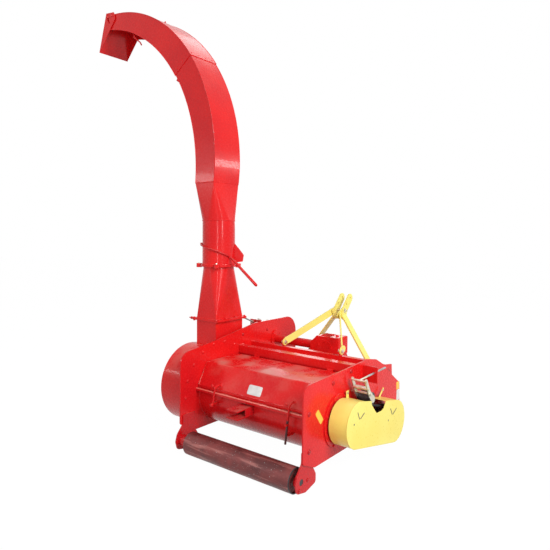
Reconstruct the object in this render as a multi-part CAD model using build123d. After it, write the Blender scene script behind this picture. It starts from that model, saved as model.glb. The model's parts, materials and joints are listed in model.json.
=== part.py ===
from build123d import *
import os
from math import cos, hypot, pi, radians, sin, sqrt, degrees, atan2

# Tractor-mounted flail forage harvester.
# Millimetres. X is the machine's right, Y points forward to the tractor, Z is up. Until the last
# step the origin lies on the ground under the land roller, midway between the side plates.

# --- driving dimensions -------------------------------------------------------------------------
INNER_HALF = 528.0          # midway plane to the inner face of each side plate
PLATE_T = 10.0              # side plates, brackets and lugs
SHEET_T = 4.0               # housing, drum and spout sheet
FLANGE_T = 8.0              # bolted and turning flanges
RUN_FIT = 0.05              # radial running clearance in a bearing
SEAT_GAP = 0.3              # between pieces that seat without being welded
SIDE_GAP = 6.0              # between a turning piece and the plate beside it
PLATE_LOW = 112.0           # lower edge of the left side plate
SHAFT_HOLE_R = 40.0         # holes in the side plates that the shafts pass through

ROLLER_R = 79.5
ROLLER_WALL = 6.0
ROLLER_LEFT, ROLLER_RIGHT = 103.0 - INNER_HALF, INNER_HALF - 40.0
ROLLER_SHAFT_R = 20.0
ROLLER_BUSH_R = 38.0
ROLLER_DISC_T = 8.0
ROLLER_RECESSES = (14.0, 22.0)                # how far its end discs lie in, left and right

AUGER_Y, AUGER_Z = 398.0, 350.0
AUGER_R = 198.0
AUGER_TUBE_R = 45.0
AUGER_SHAFT_R = 25.0
AUGER_PITCH = 260.0
AUGER_FLIGHT_T = 5.0
TROUGH_R = AUGER_R + 20.0   # inside of the auger trough
SILL_Z = 424.0              # top of the sill that the lid closes over
AUGER_GAPS = (16.0, 12.0)   # from the tube's ends to the drum's end and the right side plate
FLIGHT_GAPS = (16.0, 24.0)  # from the flight's ends to the side plates

ROTOR_Y, ROTOR_Z = 948.0, 226.0
ROTOR_TUBE_R = 70.0
ROTOR_SHAFT_R = 25.0
ROTOR_TIP_R = 185.0
ROTOR_GAP = 18.0            # from the tube's ends to the side plates
TUBE_WALL, TUBE_END = 8.0, 20.0               # wall and end plugs of the rotor and auger tubes
FLAIL_ROWS, FLAILS_PER_ROW = 4, 6
FLAIL_WIDTH, FLAIL_T = 72.0, 8.0
FLAIL_PIN_R = 8.0
LUG_REACH = 52.0            # how far the flail lugs stand out of the rotor tube
LUG_HALF, LUG_T = 8.0, 8.0  # half the gap between a pair of lugs, and their thickness
LUG_TOP = 18.0              # from the pin to the top of its lugs

DRUM_Y, DRUM_Z, DRUM_R = 392.0, 377.0, 304.0
DRUM_DEPTH = 322.0
DRUM_LOW = 108.0            # flattened underside of the drum
DRUM_FLANGE_R, DRUM_FLANGE_T = DRUM_R + 62.0, 6.0
DRUM_HUB_R, DRUM_HUB = 62.0, 22.0             # the auger's bearing outside the drum's end
FAN_EYE_R = AUGER_R + 14.0  # opening in the left side plate
FAN_R = DRUM_R - 72.0
FAN_BLADES = 4
FAN_CAP = 26.0              # gap between the fan and each end of the drum

BOX_X, BOX_Y = -INNER_HALF - 148.0, 545.0     # centre of the outlet box
BOX_WIDTH, BOX_LENGTH = 212.0, 310.0          # along X and along Y
BOX_TOP = 884.0
BOX_FLANGE = 32.0                             # how far its flange stands out

SWIVEL_X, SWIVEL_Y = -INNER_HALF - 169.0, 550.0   # axis that the spout turns about
SWIVEL_Z = 1310.0                             # top of the neck's ring
TUBE_R = 132.0                                # round tube of the spout
NECK_R, RING_R = TUBE_R - 10.0, TUBE_R + 18.0
CLAMP_REACH, CLAMP_WIDTH, CLAMP_LIP = RING_R + 31.0, 36.0, 12.0
CLAMP_ANGLES = (38.0, 128.0, 218.0, 308.0)
TUBE_TOP = SWIVEL_Z + 362.0
SPOUT_FOOT = TUBE_TOP + 300.0                 # where the rectangular duct starts
DUCT_NEAR, DUCT_FAR = SWIVEL_Y - 145.0, SWIVEL_Y + 143.0
BACK_X, BACK_Z, BACK_R = SWIVEL_X - 1323.0, SPOUT_FOOT + 187.0, 1417.0     # outer wall's arc
BELLY_X, BELLY_Z, BELLY_R = SWIVEL_X - 1498.0, SPOUT_FOOT + 119.0, 1381.0  # inner wall's arc
JOINT_ANGLE = 39.0                            # lap joint of the two duct sections
SPOUT_REACH = 1301.0                          # from the swivel axis to the end of the duct
BELLY_REACH = 903.0                           # and to the end of its inner wall

FLAP_LENGTH, FLAP_LEAN = 353.0, 18.5          # lean in degrees from vertical
FLAP_GAP = 5.0                                # between the flap's cheeks and the duct
FLAP_PIVOT = (85.0, -15.0)                    # in X and Z from the top of the duct's end
FLAP_LOCK_R = 68.0                            # radius of the slot for its locking bolt
FLAP_DOWN, FLAP_UP = 15.0, 50.0               # degrees of travel either way
BOLT_R, BOLT_END = 8.0, 8.0                   # radius of the bolts, and how far their ends stand out
LONG_BOLT_END = 12.0

ROD_R = 7.0                                   # rod by which the spout is turned
ROD_START, ROD_END = 215.0, 358.0             # degrees round the tube
ROD_HIGH, ROD_LOW = 173.0, 65.0               # heights above the swivel at its two ends
ROD_RUNS, ROD_CLEAR = 7, 1.0
ROD_BENDS = [40.0] * (ROD_RUNS - 1) + [20.0]  # bend radii along the rod
ROD_HANDLE = (305.0, -52.0, -196.0)           # from the last bend to the free end
ROD_LUG_ANGLES = (218.0, 350.0)

BEAM_1 = (607.0, 667.0, 609.0, 669.0)         # low y, high y, low z, high z
BEAM_2 = (764.0, 804.0, 617.0, 677.0)
HITCH_BEAM = (1106.0, 1186.0, 482.0, 562.0)
BEAM_WALL = 5.0
JAW = (-93.0, 3.0, 330.0, 390.0)              # drawbar jaw: low x, high x, low z, high z
JAW_WALL, JAW_END, CHEEK_END = 8.0, 8.0, 92.0
JAW_PIN_Y, JAW_PIN_R = 58.0, 12.5

MAST_X = 65.0
CLEVIS_HALF = 32.0                            # half the gap between the mast's cheeks
MAST_T, MAST_WIDTH, LEG_WIDTH = 12.0, 72.0, 66.0
TOP_PIN_Y, TOP_PIN_Z, TOP_PIN_R = 1290.0, 1040.0, 9.75
SECOND_HOLE = (-63.0, -43.0)                  # lower top-link hole, in Y and Z from the upper one
BEND_Y, BEND_Z = 1203.0, 945.0                # long bolt through the cheeks and braces
KNEE_Y, KNEE_Z = 1196.0, 905.0                # where the cheeks turn out into the legs
LEG_SPREAD = 249.0                            # how far each leg leans out
LEG_FOOT_Y = 1170.0
BRACE_T, BRACE_WIDTH = 10.0, 52.0
BRACE_FOOT_Y, BRACE_FOOT_Z = (BEAM_2[0] + BEAM_2[1]) / 2, BEAM_2[3] + 34.0
# x of the foot tab's low face, x of the top tab's low face, how far the top tab runs to the rear, and
# y beyond which the slanting bar is trimmed flush with its top tab
BRACES = ((-195.0, MAST_X - CLEVIS_HALF - MAST_T - BRACE_T, 5.0, BEND_Y - 60),
          (325.0, MAST_X + CLEVIS_HALF - BRACE_T, 53.0, BEND_Y - 50))
LINK_HALF, LINK_Y, LINK_Z = 342.0, 1262.0, 490.0
LINK_HOLE_R, LINK_PLATE_HALF = 11.25, 40.0    # hole of the lower link pins, and half a pair's spacing

GEARBOX = (-92.0, 174.0, 1000.0, 1140.0, 612.0, 752.0)
COVER_R, COVER_T = 70.0, 8.0
INPUT_X, INPUT_Z, INPUT_R = 45.0, 651.0, 17.46
INPUT_LENGTH, JOURNAL_R = 86.0, 20.0          # length of the input shaft's free end, and its journal
BOSS_R, BOSS_REACH, BOSS_BORE = 48.0, 24.0, 54.0
CROSS_Y, CROSS_Z, CROSS_TUBE_R, CROSS_SHAFT_R = 1100.0, 651.0, 36.0, 20.0
CROSS_TUBE_WALL = 6.0
CROSS_FLANGE_R, CROSS_FLANGE_T = 74.0, 12.0
CROSS_COLLAR_R, CROSS_COLLAR_T = 52.0, 14.0
CROSS_BORE = 40.0                             # depth of the cross shaft's bore in the gearbox

GUARD_IN, GUARD_OUT = INNER_HALF + 30.0, INNER_HALF + 162.0   # open and closed side of a guard
GUARD_T = 3.0
BELT_T, BELT_WIDTH = 9.0, 50.0
PULLEY_LOW, PULLEY_WIDTH = INNER_HALF + 58.0, 70.0   # inner face of the pulleys, and their width
ROTOR_PULLEY_R, AUGER_PULLEY_R = 96.0, 110.0         # right-hand drive
CROSS_PULLEY_R, DRIVEN_PULLEY_R = 100.0, 88.0        # left-hand drive
GUARD_R = AUGER_PULLEY_R + 38.0                      # both ends of the right guard
LEFT_GUARD_RADII = (DRIVEN_PULLEY_R + 52.0, CROSS_PULLEY_R + 28.0)
SHAFT_END = 10.0                              # how far shafts and pivots stand out past what they carry
IDLER_RIGHT, IDLER_LEFT = (630.0, 460.0), (930.0, 611.0)
# Each belt's two pulleys, in Y, Z and radius
RIGHT_DRIVE = ((AUGER_Y, AUGER_Z, AUGER_PULLEY_R), (ROTOR_Y, ROTOR_Z, ROTOR_PULLEY_R))
LEFT_DRIVE = ((ROTOR_Y, ROTOR_Z, DRIVEN_PULLEY_R), (CROSS_Y, CROSS_Z, CROSS_PULLEY_R))
ARM_IN, ARM_OUT, ARM_T = INNER_HALF + 38.0, INNER_HALF + 140.0, 8.0
ARM_ROD_R, PIVOT_R = 7.0, 9.0
TENSION_ROD_R, TENSION_HOLE_R = 6.0, 9.0
NUT_R, NUT_HALF = 12.0, 8.0
# Of each tensioner, in Y and Z: the rod's ends, the lug that it runs through, and the arms' pivot
RIGHT_TENSION = {"rod": ((519, 601), (905, 613)), "lug": (724, 540, 652), "pivot": (574, 508)}
LEFT_TENSION = {"rod": ((1032, 755), (740, 879)), "lug": (898, 742, 835), "pivot": (985, 716)}
ROD_X = INNER_HALF + 94.0
POST_R = 12.0
# Radius and thickness of each bearing's flange, radius and length of its hub
ROTOR_BEARING, CROSS_BEARING = (75.0, 10.0, 50.0, 30.0), (65.0, 10.0, 44.0, 30.0)
AUGER_BEARING = (175.0, 8.0, 55.0, 34.0)

LID_RIDGE_Y, LID_RIDGE_Z = 252.0, 598.0
LID_EDGE_Y, LID_EDGE_Z = 166.0, 444.0
HINGE_Y, HINGE_Z, HINGE_R, HINGE_PIN_R = 598.0, 610.0, 8.0, 5.0
HINGE_PLACES = (-327.0, 347.0)
KNUCKLE_HALF, HINGE_PLAY, HINGE_LUG_T = 9.0, 1.0, 12.0
LEAF_HALF, LEAF_T = 30.0, 3.0
# x and z of the top end, x and z of the bottom end of each latch lever
LATCHES = ((-351.0, 489.0, -291.0, 342.0), (303.0, 498.0, 400.0, 244.0))
LATCH_Y, LATCH_T, LATCH_WIDTH = LID_EDGE_Y - 36.0, 6.0, 20.0

STAND_Y, STAND_Z, STAND_PIN_R, STAND_FOOT_T = 1270.0, 250.0, 12.0, 10.0
STAND_X, STAND_T = INNER_HALF - 22.0, 12.0


# --- helpers ------------------------------------------------------------------------------------
def outline(rows):
    """Closed face from rows of (across, up, corner radius)."""
    face = make_face(Polyline(*[(across, up) for across, up, _ in rows], close=True))
    for across, up, radius in rows:
        if radius:
            corner = face.vertices().sort_by_distance(Vector(across, up, 0))[0]
            face = fillet(corner, radius)
    return face


def along_x(face, x_low, x_high):
    """A face drawn in Y and Z, swept along X."""
    return Pos(x_low, 0, 0) * extrude(Plane.YZ * face, amount=x_high - x_low)


def along_y(face, y_low, y_high):
    """A face drawn in X and Z, swept along Y."""
    return Pos(0, y_low, 0) * extrude(Plane.XZ * face, amount=y_low - y_high)


def disc(y, z, radius, x_low, x_high):
    """A cylinder along X."""
    return along_x(Pos(y, z) * Circle(radius), x_low, x_high)


def block(x_low, x_high, y_low, y_high, z_low, z_high):
    size = (x_high - x_low, y_high - y_low, z_high - z_low)
    middle = ((x_low + x_high) / 2, (y_low + y_high) / 2, (z_low + z_high) / 2)
    return Pos(*middle) * Box(*size)


def sheet(rows, x_low, x_high):
    """A bent sheet: rows of (y, z, bend radius) along its left-hand face, swept along X."""
    points = [(y, z) for y, z, _ in rows]
    radii = [radius for _, _, radius in rows[1:-1]]
    line = FilletPolyline(*points, radius=radii) if radii else Polyline(*points)
    band = offset(line, SHEET_T, side=Side.RIGHT, closed=True)
    return along_x(make_face(band), x_low, x_high)


def bar(start, end, width_dir, width, thickness, overrun=0.0):
    """A flat bar between two points, its width along width_dir, with rounded ends."""
    start, end = Vector(*start), Vector(*end)
    run = end - start
    length = run.length + 2 * overrun
    normal = run.cross(Vector(*width_dir)).normalized()
    middle = (start + end) / 2
    face = Plane(origin=middle - normal * (thickness / 2), x_dir=run.normalized(), z_dir=normal)
    shape = RectangleRounded(length, width, min(width, length) / 2 - 0.5)
    return extrude(face * shape, amount=thickness)


def link(first, second, width, x_low, x_high):
    """A flat bar in a plane across X, between two (y, z) points, with round ends."""
    (y1, z1), (y2, z2) = first, second
    face = Rot(0, 0, degrees(atan2(z2 - z1, y2 - y1))) * SlotCenterToCenter(hypot(y2 - y1, z2 - z1), width)
    return along_x(Pos((y1 + y2) / 2, (z1 + z2) / 2) * face, x_low, x_high)


def rod(points, radius, bends=None):
    """A round rod along straight runs joined by bends."""
    path = FilletPolyline(*points, radius=bends) if bends else Polyline(*points)
    start = Plane(origin=path @ 0, z_dir=path % 0)
    return sweep(start * Circle(radius), path=path)


def box_tube(span, wall, x_low, x_high):
    """A rectangular tube along X; span is (low y, high y, low z, high z)."""
    y_low, y_high, z_low, z_high = span
    outer = block(x_low, x_high, y_low, y_high, z_low, z_high)
    inner = block(x_low - 1, x_high + 1, y_low + wall, y_high - wall, z_low + wall, z_high - wall)
    return outer - inner


def span_block(span):
    return block(-2 * INNER_HALF, 2 * INNER_HALF, *span)


def round_to_square(centre, radius, round_z, middle, width, length, square_z):
    """Solid between a circle and a rectangle: a flat triangle on each side, part of a cone at each corner."""
    sides = [(middle[0] + x * width / 2, middle[1] + y * length / 2, square_z)
             for x, y in ((1, -1), (1, 1), (-1, 1), (-1, -1))]
    heart = Vector(*centre, round_z)
    touches = [heart + Vector(radius, 0, 0).rotate(Axis.Z, 90 * step) for step in range(4)]
    solid = pyramid(sides, heart)
    for step in range(4):
        corner, last_corner = sides[(step + 1) % 4], sides[step]
        solid += pyramid([heart, touches[step], last_corner], corner)
        quarter = CenterArc(heart, radius, 90 * step, 90)
        edge = make_face(quarter + Line(quarter @ 1, heart) + Line(heart, quarter @ 0))
        solid += loft([edge.face(), Vertex(corner)])
    return solid


def pyramid(base, tip):
    """Flat-sided solid from its base's corners and its tip."""
    corners = [Vector(point) for point in base]
    tip = Vector(tip)
    count = len(corners)
    faces = [make_face(Polyline(*corners, close=True)).face()]
    for step in range(count):
        faces.append(make_face(Polyline(corners[step], corners[(step + 1) % count], tip, close=True)).face())
    return Solid(Shell(faces))


def group(pieces):
    """Like pieces on one body, kept as separate solids of one node."""
    return Compound([solid for piece in pieces for solid in piece.solids()])


def mirrored(piece):
    return mirror(piece, Plane.YZ)


# --- frame --------------------------------------------------------------------------------------
def left_outline():
    # (y, z, corner radius): low at the roller, high at the front where the cross shaft ends
    return outline([
        (-10, 190, 20), (125, PLATE_LOW, 20), (1330, PLATE_LOW, 60), (1400, 230, 90),
        (1400, 823, 140), (818, 823, 120), (330, 741, 60), (-10, 700, 95),
    ])


def left_side_plate():
    inner, outer = -INNER_HALF, -INNER_HALF - PLATE_T
    plate = along_x(left_outline(), outer, inner)
    plate -= disc(AUGER_Y, AUGER_Z, FAN_EYE_R, outer, inner)
    for y, z in ((ROTOR_Y, ROTOR_Z), (CROSS_Y, CROSS_Z)):
        plate -= disc(y, z, SHAFT_HOLE_R, outer, inner)
    return plate


def right_side_plate():
    # (y, z, corner radius): the front drops away so that the tractor's lower link clears it
    rows = [
        (0, 187, 20), (125, 130, 20), (1240, 130, 60), (1342, 230, 80), (1336, 397, 15),
        (1196, 489, 15), (1190, 572, 6), (1060, 590, 10), (931, 655, 30), (806, 679, 20),
        (600, 671, 20), (0, 655, 70),
    ]
    inner, outer = INNER_HALF, INNER_HALF + PLATE_T
    plate = along_x(outline(rows), inner, outer)
    for y, z in ((ROTOR_Y, ROTOR_Z), (AUGER_Y, AUGER_Z)):
        plate -= disc(y, z, SHAFT_HOLE_R, inner, outer)
    return plate


def roller_brackets():
    """Lobed plates inside the side plates, with the bushes that carry the land roller."""
    # (y, z, corner radius)
    rows = [
        (125, 255, 10), (125, 130, 25), (155, 82, 22), (155, 28, 22), (45, 3, 22),
        (-45, 22, 25), (-60, 78, 22), (-45, 130, 30), (8, 190, 30), (8, 255, 10),
    ]
    inner = INNER_HALF - PLATE_T
    plate = along_x(outline(rows), inner, INNER_HALF)
    pieces = []
    for side, roller_end in ((1, ROLLER_RIGHT), (-1, -ROLLER_LEFT)):
        bracket = plate + disc(0, ROLLER_R, ROLLER_BUSH_R, roller_end + SIDE_GAP, inner)
        bracket -= disc(0, ROLLER_R, ROLLER_SHAFT_R + RUN_FIT, roller_end, INNER_HALF)
        pieces.append(bracket if side > 0 else mirrored(bracket))
    return group(pieces)


def auger_trough():
    """Sheet under and behind the auger, from the lid's sill round to the rotor's apron."""
    rear_angle = 180 - degrees(atan2(SILL_Z - SHEET_T - AUGER_Z, TROUGH_R))
    front_angle = 352.0
    ring = Pos(AUGER_Y, AUGER_Z) * (Circle(TROUGH_R + SHEET_T) - Circle(TROUGH_R))
    reach = 2 * TROUGH_R
    corners = [(AUGER_Y, AUGER_Z)]
    for angle in (rear_angle, 215, 270, 315, front_angle):
        corners.append((AUGER_Y + reach * cos(radians(angle)), AUGER_Z + reach * sin(radians(angle))))
    return along_x(ring & make_face(Polyline(*corners, close=True)), -INNER_HALF, INNER_HALF)


def trough_cylinder():
    return disc(AUGER_Y, AUGER_Z, TROUGH_R + SHEET_T, -INNER_HALF, INNER_HALF)


def trough_apron():
    """Sheet from the trough's front edge down behind the flail rotor."""
    top = AUGER_Z - 0.14 * TROUGH_R
    rows = [(AUGER_Y + TROUGH_R - 6, top, 0), (AUGER_Y + TROUGH_R + 54, top - 68, 60),
            (ROTOR_Y - ROTOR_TIP_R - 8, 128, 0)]
    return sheet(rows, -INNER_HALF, INNER_HALF) - trough_cylinder()


def lid_sill():
    """Folded sill that the lid closes over, standing out behind the trough."""
    rear = LID_EDGE_Y - 23
    rows = [(AUGER_Y - 0.9 * TROUGH_R, SILL_Z - SHEET_T, 0), (rear + SHEET_T, SILL_Z - SHEET_T, 3),
            (rear + SHEET_T, SILL_Z - 20, 0)]
    return sheet(rows, -INNER_HALF, INNER_HALF) - trough_cylinder()


def rotor_hood():
    """Sheet over the flail rotor, and the lip in front of the hitch beam over the intake."""
    rows = [(BEAM_2[1] - 4, 645, 0), (925, 640, 30), (1052, 582, 20), (HITCH_BEAM[0] + 4, 560, 0)]
    lip = [(HITCH_BEAM[1] - 4, 487, 0), (HITCH_BEAM[1] + 8, 481, 5), (1330, 389, 0)]
    pieces = [sheet(part, -INNER_HALF, INNER_HALF) for part in (rows, lip)]
    return group([piece - span_block(BEAM_2) - span_block(HITCH_BEAM) for piece in pieces])


def deck():
    """Flat sheet that closes the gap between the two rear beams."""
    return block(-INNER_HALF, INNER_HALF, BEAM_1[1], BEAM_2[0], 640, 640 + SHEET_T)


def beam(span):
    return box_tube(span, BEAM_WALL, -INNER_HALF, INNER_HALF)


def drawbar_socket():
    """Jaw behind the trough for a towed wagon: two plates on cheeks, with a pin hole."""
    x_low, x_high, z_low, z_high = JAW
    cheek_low, cheek_high = x_low + JAW_WALL, x_high - JAW_WALL
    gap_low, gap_high = z_low + JAW_WALL, z_high - JAW_WALL
    root = AUGER_Y - 0.9 * TROUGH_R
    jaw = block(x_low, x_high, JAW_END, root, z_low, z_high)
    jaw -= block(cheek_low, cheek_high, JAW_END, root, gap_low, gap_high)
    jaw -= block(x_low - 1, x_high + 1, JAW_END, CHEEK_END, gap_low, gap_high)
    jaw -= Pos((x_low + x_high) / 2, JAW_PIN_Y, z_low) * Cylinder(JAW_PIN_R, 2 * (z_high - z_low))
    return jaw - trough_cylinder()


# --- fan drum and outlet --------------------------------------------------------------------------
def drum_face(inset):
    """End view of the drum: a circle with a flattened underside."""
    circle = Pos(DRUM_Y, DRUM_Z) * Circle(DRUM_R - inset)
    low = DRUM_LOW + inset
    cut = Pos(DRUM_Y, low - DRUM_R) * Rectangle(3 * DRUM_R, 2 * DRUM_R)
    return circle - cut


def box_span(inset):
    return (BOX_X - BOX_WIDTH / 2 + inset, BOX_X + BOX_WIDTH / 2 - inset,
            BOX_Y - BOX_LENGTH / 2 + inset, BOX_Y + BOX_LENGTH / 2 - inset)


def fan_drum():
    """Drum left of the frame, bolted on by its flange, with its mouth up into the outlet box."""
    x_in = -INNER_HALF - PLATE_T
    x_out = x_in - DRUM_DEPTH
    flange = left_outline() & (Pos(DRUM_Y, DRUM_Z) * Circle(DRUM_FLANGE_R))
    drum = along_x(drum_face(0), x_out, x_in) + along_x(flange, x_in - DRUM_FLANGE_T, x_in)
    drum -= along_x(drum_face(SHEET_T), x_out + SHEET_T, x_in)
    drum += disc(AUGER_Y, AUGER_Z, DRUM_HUB_R, x_out - DRUM_HUB, x_out + SHEET_T)
    drum -= disc(AUGER_Y, AUGER_Z, AUGER_SHAFT_R + RUN_FIT, x_out - DRUM_HUB, x_out + SHEET_T)
    return drum - block(*box_span(SHEET_T), DRUM_Z + 40, BOX_TOP)


def outlet_box():
    """Rectangular duct from the drum up to its flange."""
    low, high, near, far = box_span(0)
    box = block(low, high, near, far, DRUM_Z, BOX_TOP - FLANGE_T)
    box += block(low - BOX_FLANGE, high + BOX_FLANGE, near - BOX_FLANGE / 2, far + BOX_FLANGE / 2,
                 BOX_TOP - FLANGE_T, BOX_TOP)
    box -= block(*box_span(SHEET_T), 0, BOX_TOP)
    return box - disc(DRUM_Y, DRUM_Z, DRUM_R, low - 1, high + 1)


def spout_neck():
    """Sheet transition that rises from the box's flange to the ring the spout turns on."""
    ring_low = SWIVEL_Z - FLANGE_T
    foot_z = BOX_TOP + FLANGE_T

    def cone(wall):
        return round_to_square((SWIVEL_X, SWIVEL_Y), NECK_R - wall, ring_low,
                               (BOX_X, BOX_Y), BOX_WIDTH - 2 * wall, BOX_LENGTH - 2 * wall, foot_z)

    low, high, near, far = box_span(0)
    neck = cone(0)
    neck += block(low - BOX_FLANGE, high + BOX_FLANGE, near - BOX_FLANGE / 2, far + BOX_FLANGE / 2,
                  BOX_TOP, foot_z)
    neck += Pos(SWIVEL_X, SWIVEL_Y, SWIVEL_Z - FLANGE_T / 2) * Cylinder(RING_R, FLANGE_T)
    neck -= cone(SHEET_T)
    neck -= block(*box_span(SHEET_T), BOX_TOP, foot_z)
    return neck - Pos(SWIVEL_X, SWIVEL_Y, SWIVEL_Z - FLANGE_T / 2) * Cylinder(NECK_R - SHEET_T, FLANGE_T)


def ring_clamps():
    """Clips round the neck's ring that hold the spout's ring down and let it turn."""
    lip_z = FLANGE_T + 2 * SEAT_GAP
    end_r = CLAMP_WIDTH / 2

    def plan(inner):
        straight = CLAMP_REACH - end_r - inner
        tongue = Pos(inner + straight / 2, 0) * Rectangle(straight, CLAMP_WIDTH)
        whole = tongue + Pos(CLAMP_REACH - end_r, 0) * Circle(end_r)
        return whole & (Pos(inner + RING_R, 0) * Rectangle(2 * RING_R, 2 * CLAMP_WIDTH))

    # (inner radius, low z, high z) from the top of the neck's ring
    layers = [(RING_R - CLAMP_LIP, -2 * FLANGE_T, -FLANGE_T), (RING_R + SEAT_GAP, -FLANGE_T, lip_z),
              (RING_R - CLAMP_LIP, lip_z, lip_z + FLANGE_T)]
    clip = None
    for inner, low, high in layers:
        layer = Pos(0, 0, SWIVEL_Z + low) * extrude(plan(inner), amount=high - low)
        clip = layer if clip is None else clip + layer
    return group([Pos(SWIVEL_X, SWIVEL_Y, 0) * Rot(0, 0, angle) * clip for angle in CLAMP_ANGLES])


# --- spout --------------------------------------------------------------------------------------
def rod_height(angle):
    share = (angle - ROD_START) / (ROD_END - ROD_START)
    return SWIVEL_Z + ROD_HIGH - (ROD_HIGH - ROD_LOW) * (0.6 * share + 0.4 * share ** 3)


def spout_tube():
    """Round tube on its turning ring, with a gusset and the lugs of the turning rod."""
    foot_z = SWIVEL_Z + SEAT_GAP
    height = TUBE_TOP - foot_z
    tube = Pos(0, 0, foot_z + height / 2) * Cylinder(TUBE_R, height)
    tube += Pos(0, 0, foot_z + FLANGE_T / 2) * Cylinder(RING_R - SEAT_GAP, FLANGE_T)
    # (out from the axis, up from the swivel, corner radius)
    rows = [(TUBE_R - 2, 24, 0), (TUBE_R + 66, 32, 8), (TUBE_R + 74, 88, 8), (TUBE_R - 2, 183, 0)]
    gusset = outline([(out, SWIVEL_Z + up, radius) for out, up, radius in rows])
    tube += Rot(0, 0, 34) * along_y(gusset, -4, 4)
    for angle in ROD_LUG_ANGLES:
        lug = Pos(TUBE_R + 8, 0, rod_height(angle)) * Box(20, 10, 2 * ROD_R + 10)
        tube += Rot(0, 0, angle) * lug
    tube = Pos(SWIVEL_X, SWIVEL_Y, 0) * tube
    tube -= Pos(SWIVEL_X, SWIVEL_Y, SWIVEL_Z + height / 2) * Cylinder(TUBE_R - SHEET_T, height + 40)
    return tube - rod(turning_rod_path(), ROD_R + SEAT_GAP, ROD_BENDS)


def turning_rod_path():
    points = []
    turn = (ROD_END - ROD_START) / ROD_RUNS
    # the straight runs between the bends keep clear of the tube
    corner_r = (TUBE_R + ROD_R + ROD_CLEAR) / cos(radians(turn / 2))
    for run in range(ROD_RUNS + 1):
        angle = ROD_START + turn * run
        points.append((SWIVEL_X + corner_r * cos(radians(angle)),
                       SWIVEL_Y + corner_r * sin(radians(angle)), rod_height(angle)))
    x, y, z = points[-1]
    points.append((x + ROD_HANDLE[0], y + ROD_HANDLE[1], z + ROD_HANDLE[2]))
    return points


def turning_rod():
    """Bent rod round the tube, by which the spout is turned by hand."""
    return rod(turning_rod_path(), ROD_R, ROD_BENDS)


def duct_x(centre_x, centre_z, radius, z):
    return centre_x + sqrt(radius ** 2 - (z - centre_z) ** 2)


def spout_transition():
    """Round tube to rectangular duct."""
    right = duct_x(BACK_X, BACK_Z, BACK_R, SPOUT_FOOT)
    left = duct_x(BELLY_X, BELLY_Z, BELLY_R, SPOUT_FOOT)
    middle = ((left + right) / 2, (DUCT_NEAR + DUCT_FAR) / 2)

    def body(wall):
        return round_to_square((SWIVEL_X, SWIVEL_Y), TUBE_R - wall, TUBE_TOP,
                               middle, right - left - 2 * wall, DUCT_FAR - DUCT_NEAR - 2 * wall, SPOUT_FOOT)

    return body(0) - body(SHEET_T)


def duct_side(wall, belly_wall):
    """Side view of the duct between its two arcs, drawn so far inside its outside."""
    outer = Pos(BACK_X, BACK_Z) * Circle(BACK_R - wall)
    return outer - Pos(BELLY_X, BELLY_Z) * Circle(BELLY_R + belly_wall)


def duct_section(window, open_window, growth):
    """A hollow length of duct; growth makes it larger all round, to slip over its neighbour."""
    near, far = DUCT_NEAR - growth, DUCT_FAR + growth
    inside = SHEET_T - growth
    duct = along_y(duct_side(-growth, -growth) & window, near, far)
    duct -= along_y(duct_side(inside, inside) & window, near + SHEET_T, far - SHEET_T)
    if open_window:
        duct -= along_y(duct_side(inside, -20) & open_window, near + SHEET_T, far - SHEET_T)
    return duct


def joint_point(angle, radius):
    return (BACK_X + radius * cos(radians(angle)), BACK_Z + radius * sin(radians(angle)))


def lower_duct():
    """First section of the curved duct, up to the lap joint."""
    window = make_face(Polyline(
        (BACK_X + 600, SPOUT_FOOT), (0, SPOUT_FOOT), (0, BACK_Z),
        joint_point(JOINT_ANGLE, BACK_R + 600), joint_point(JOINT_ANGLE, 600), close=True))
    return duct_section(window, None, 0.0)


def upper_duct():
    """Second section, lapped over the first; its side walls run on past the inner wall to the flap."""
    angle = JOINT_ANGLE - 2.5
    end, high, low = SWIVEL_X - SPOUT_REACH, BACK_Z + BACK_R + 400, BACK_Z + 500
    window = make_face(Polyline(joint_point(angle, 700), joint_point(angle, BACK_R + 600), (end + 1600, high),
                                (end, high), (end, low), close=True))
    belly_end = SWIVEL_X - BELLY_REACH
    open_window = Pos((end + belly_end) / 2, (low + high) / 2) * Rectangle(belly_end - end, high - low)
    return duct_section(window, open_window, SHEET_T + SEAT_GAP)


def flap_places():
    """Top edge, foot and pivot of the deflector flap, in X and Z."""
    end = SWIVEL_X - SPOUT_REACH
    roof = BACK_Z + sqrt(BACK_R ** 2 - (end - BACK_X) ** 2) + SHEET_T
    top = (end - 8, roof + 27)
    foot = (top[0] - FLAP_LENGTH * sin(radians(FLAP_LEAN)), top[1] - FLAP_LENGTH * cos(radians(FLAP_LEAN)))
    pivot = (end + FLAP_PIVOT[0], roof + FLAP_PIVOT[1])
    return top, foot, pivot


def flap_cheek():
    """A cheek of the flap, with its pivot hole and the curved slot of its locking bolt."""
    top, foot, pivot = flap_places()
    back = (pivot[0] + 23, top[1] - 15)
    cheek = outline([(*top, 0), (*back, 12), (back[0] + 22, back[1] - 62, 16), (*foot, 0)])
    cheek -= Pos(*pivot) * Circle(BOLT_R + RUN_FIT)
    half = BOLT_R + 1
    slot = Circle(FLAP_LOCK_R + half) - Circle(FLAP_LOCK_R - half)
    low, high = radians(180 - FLAP_DOWN - 9), radians(180 + FLAP_UP + 9)
    reach = 3 * FLAP_LOCK_R
    middle = (low + high) / 2
    wedge = Polyline((0, 0), *[(reach * cos(a), reach * sin(a)) for a in (low, middle, high)], close=True)
    return cheek - Pos(*pivot) * (slot & make_face(wedge))


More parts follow.
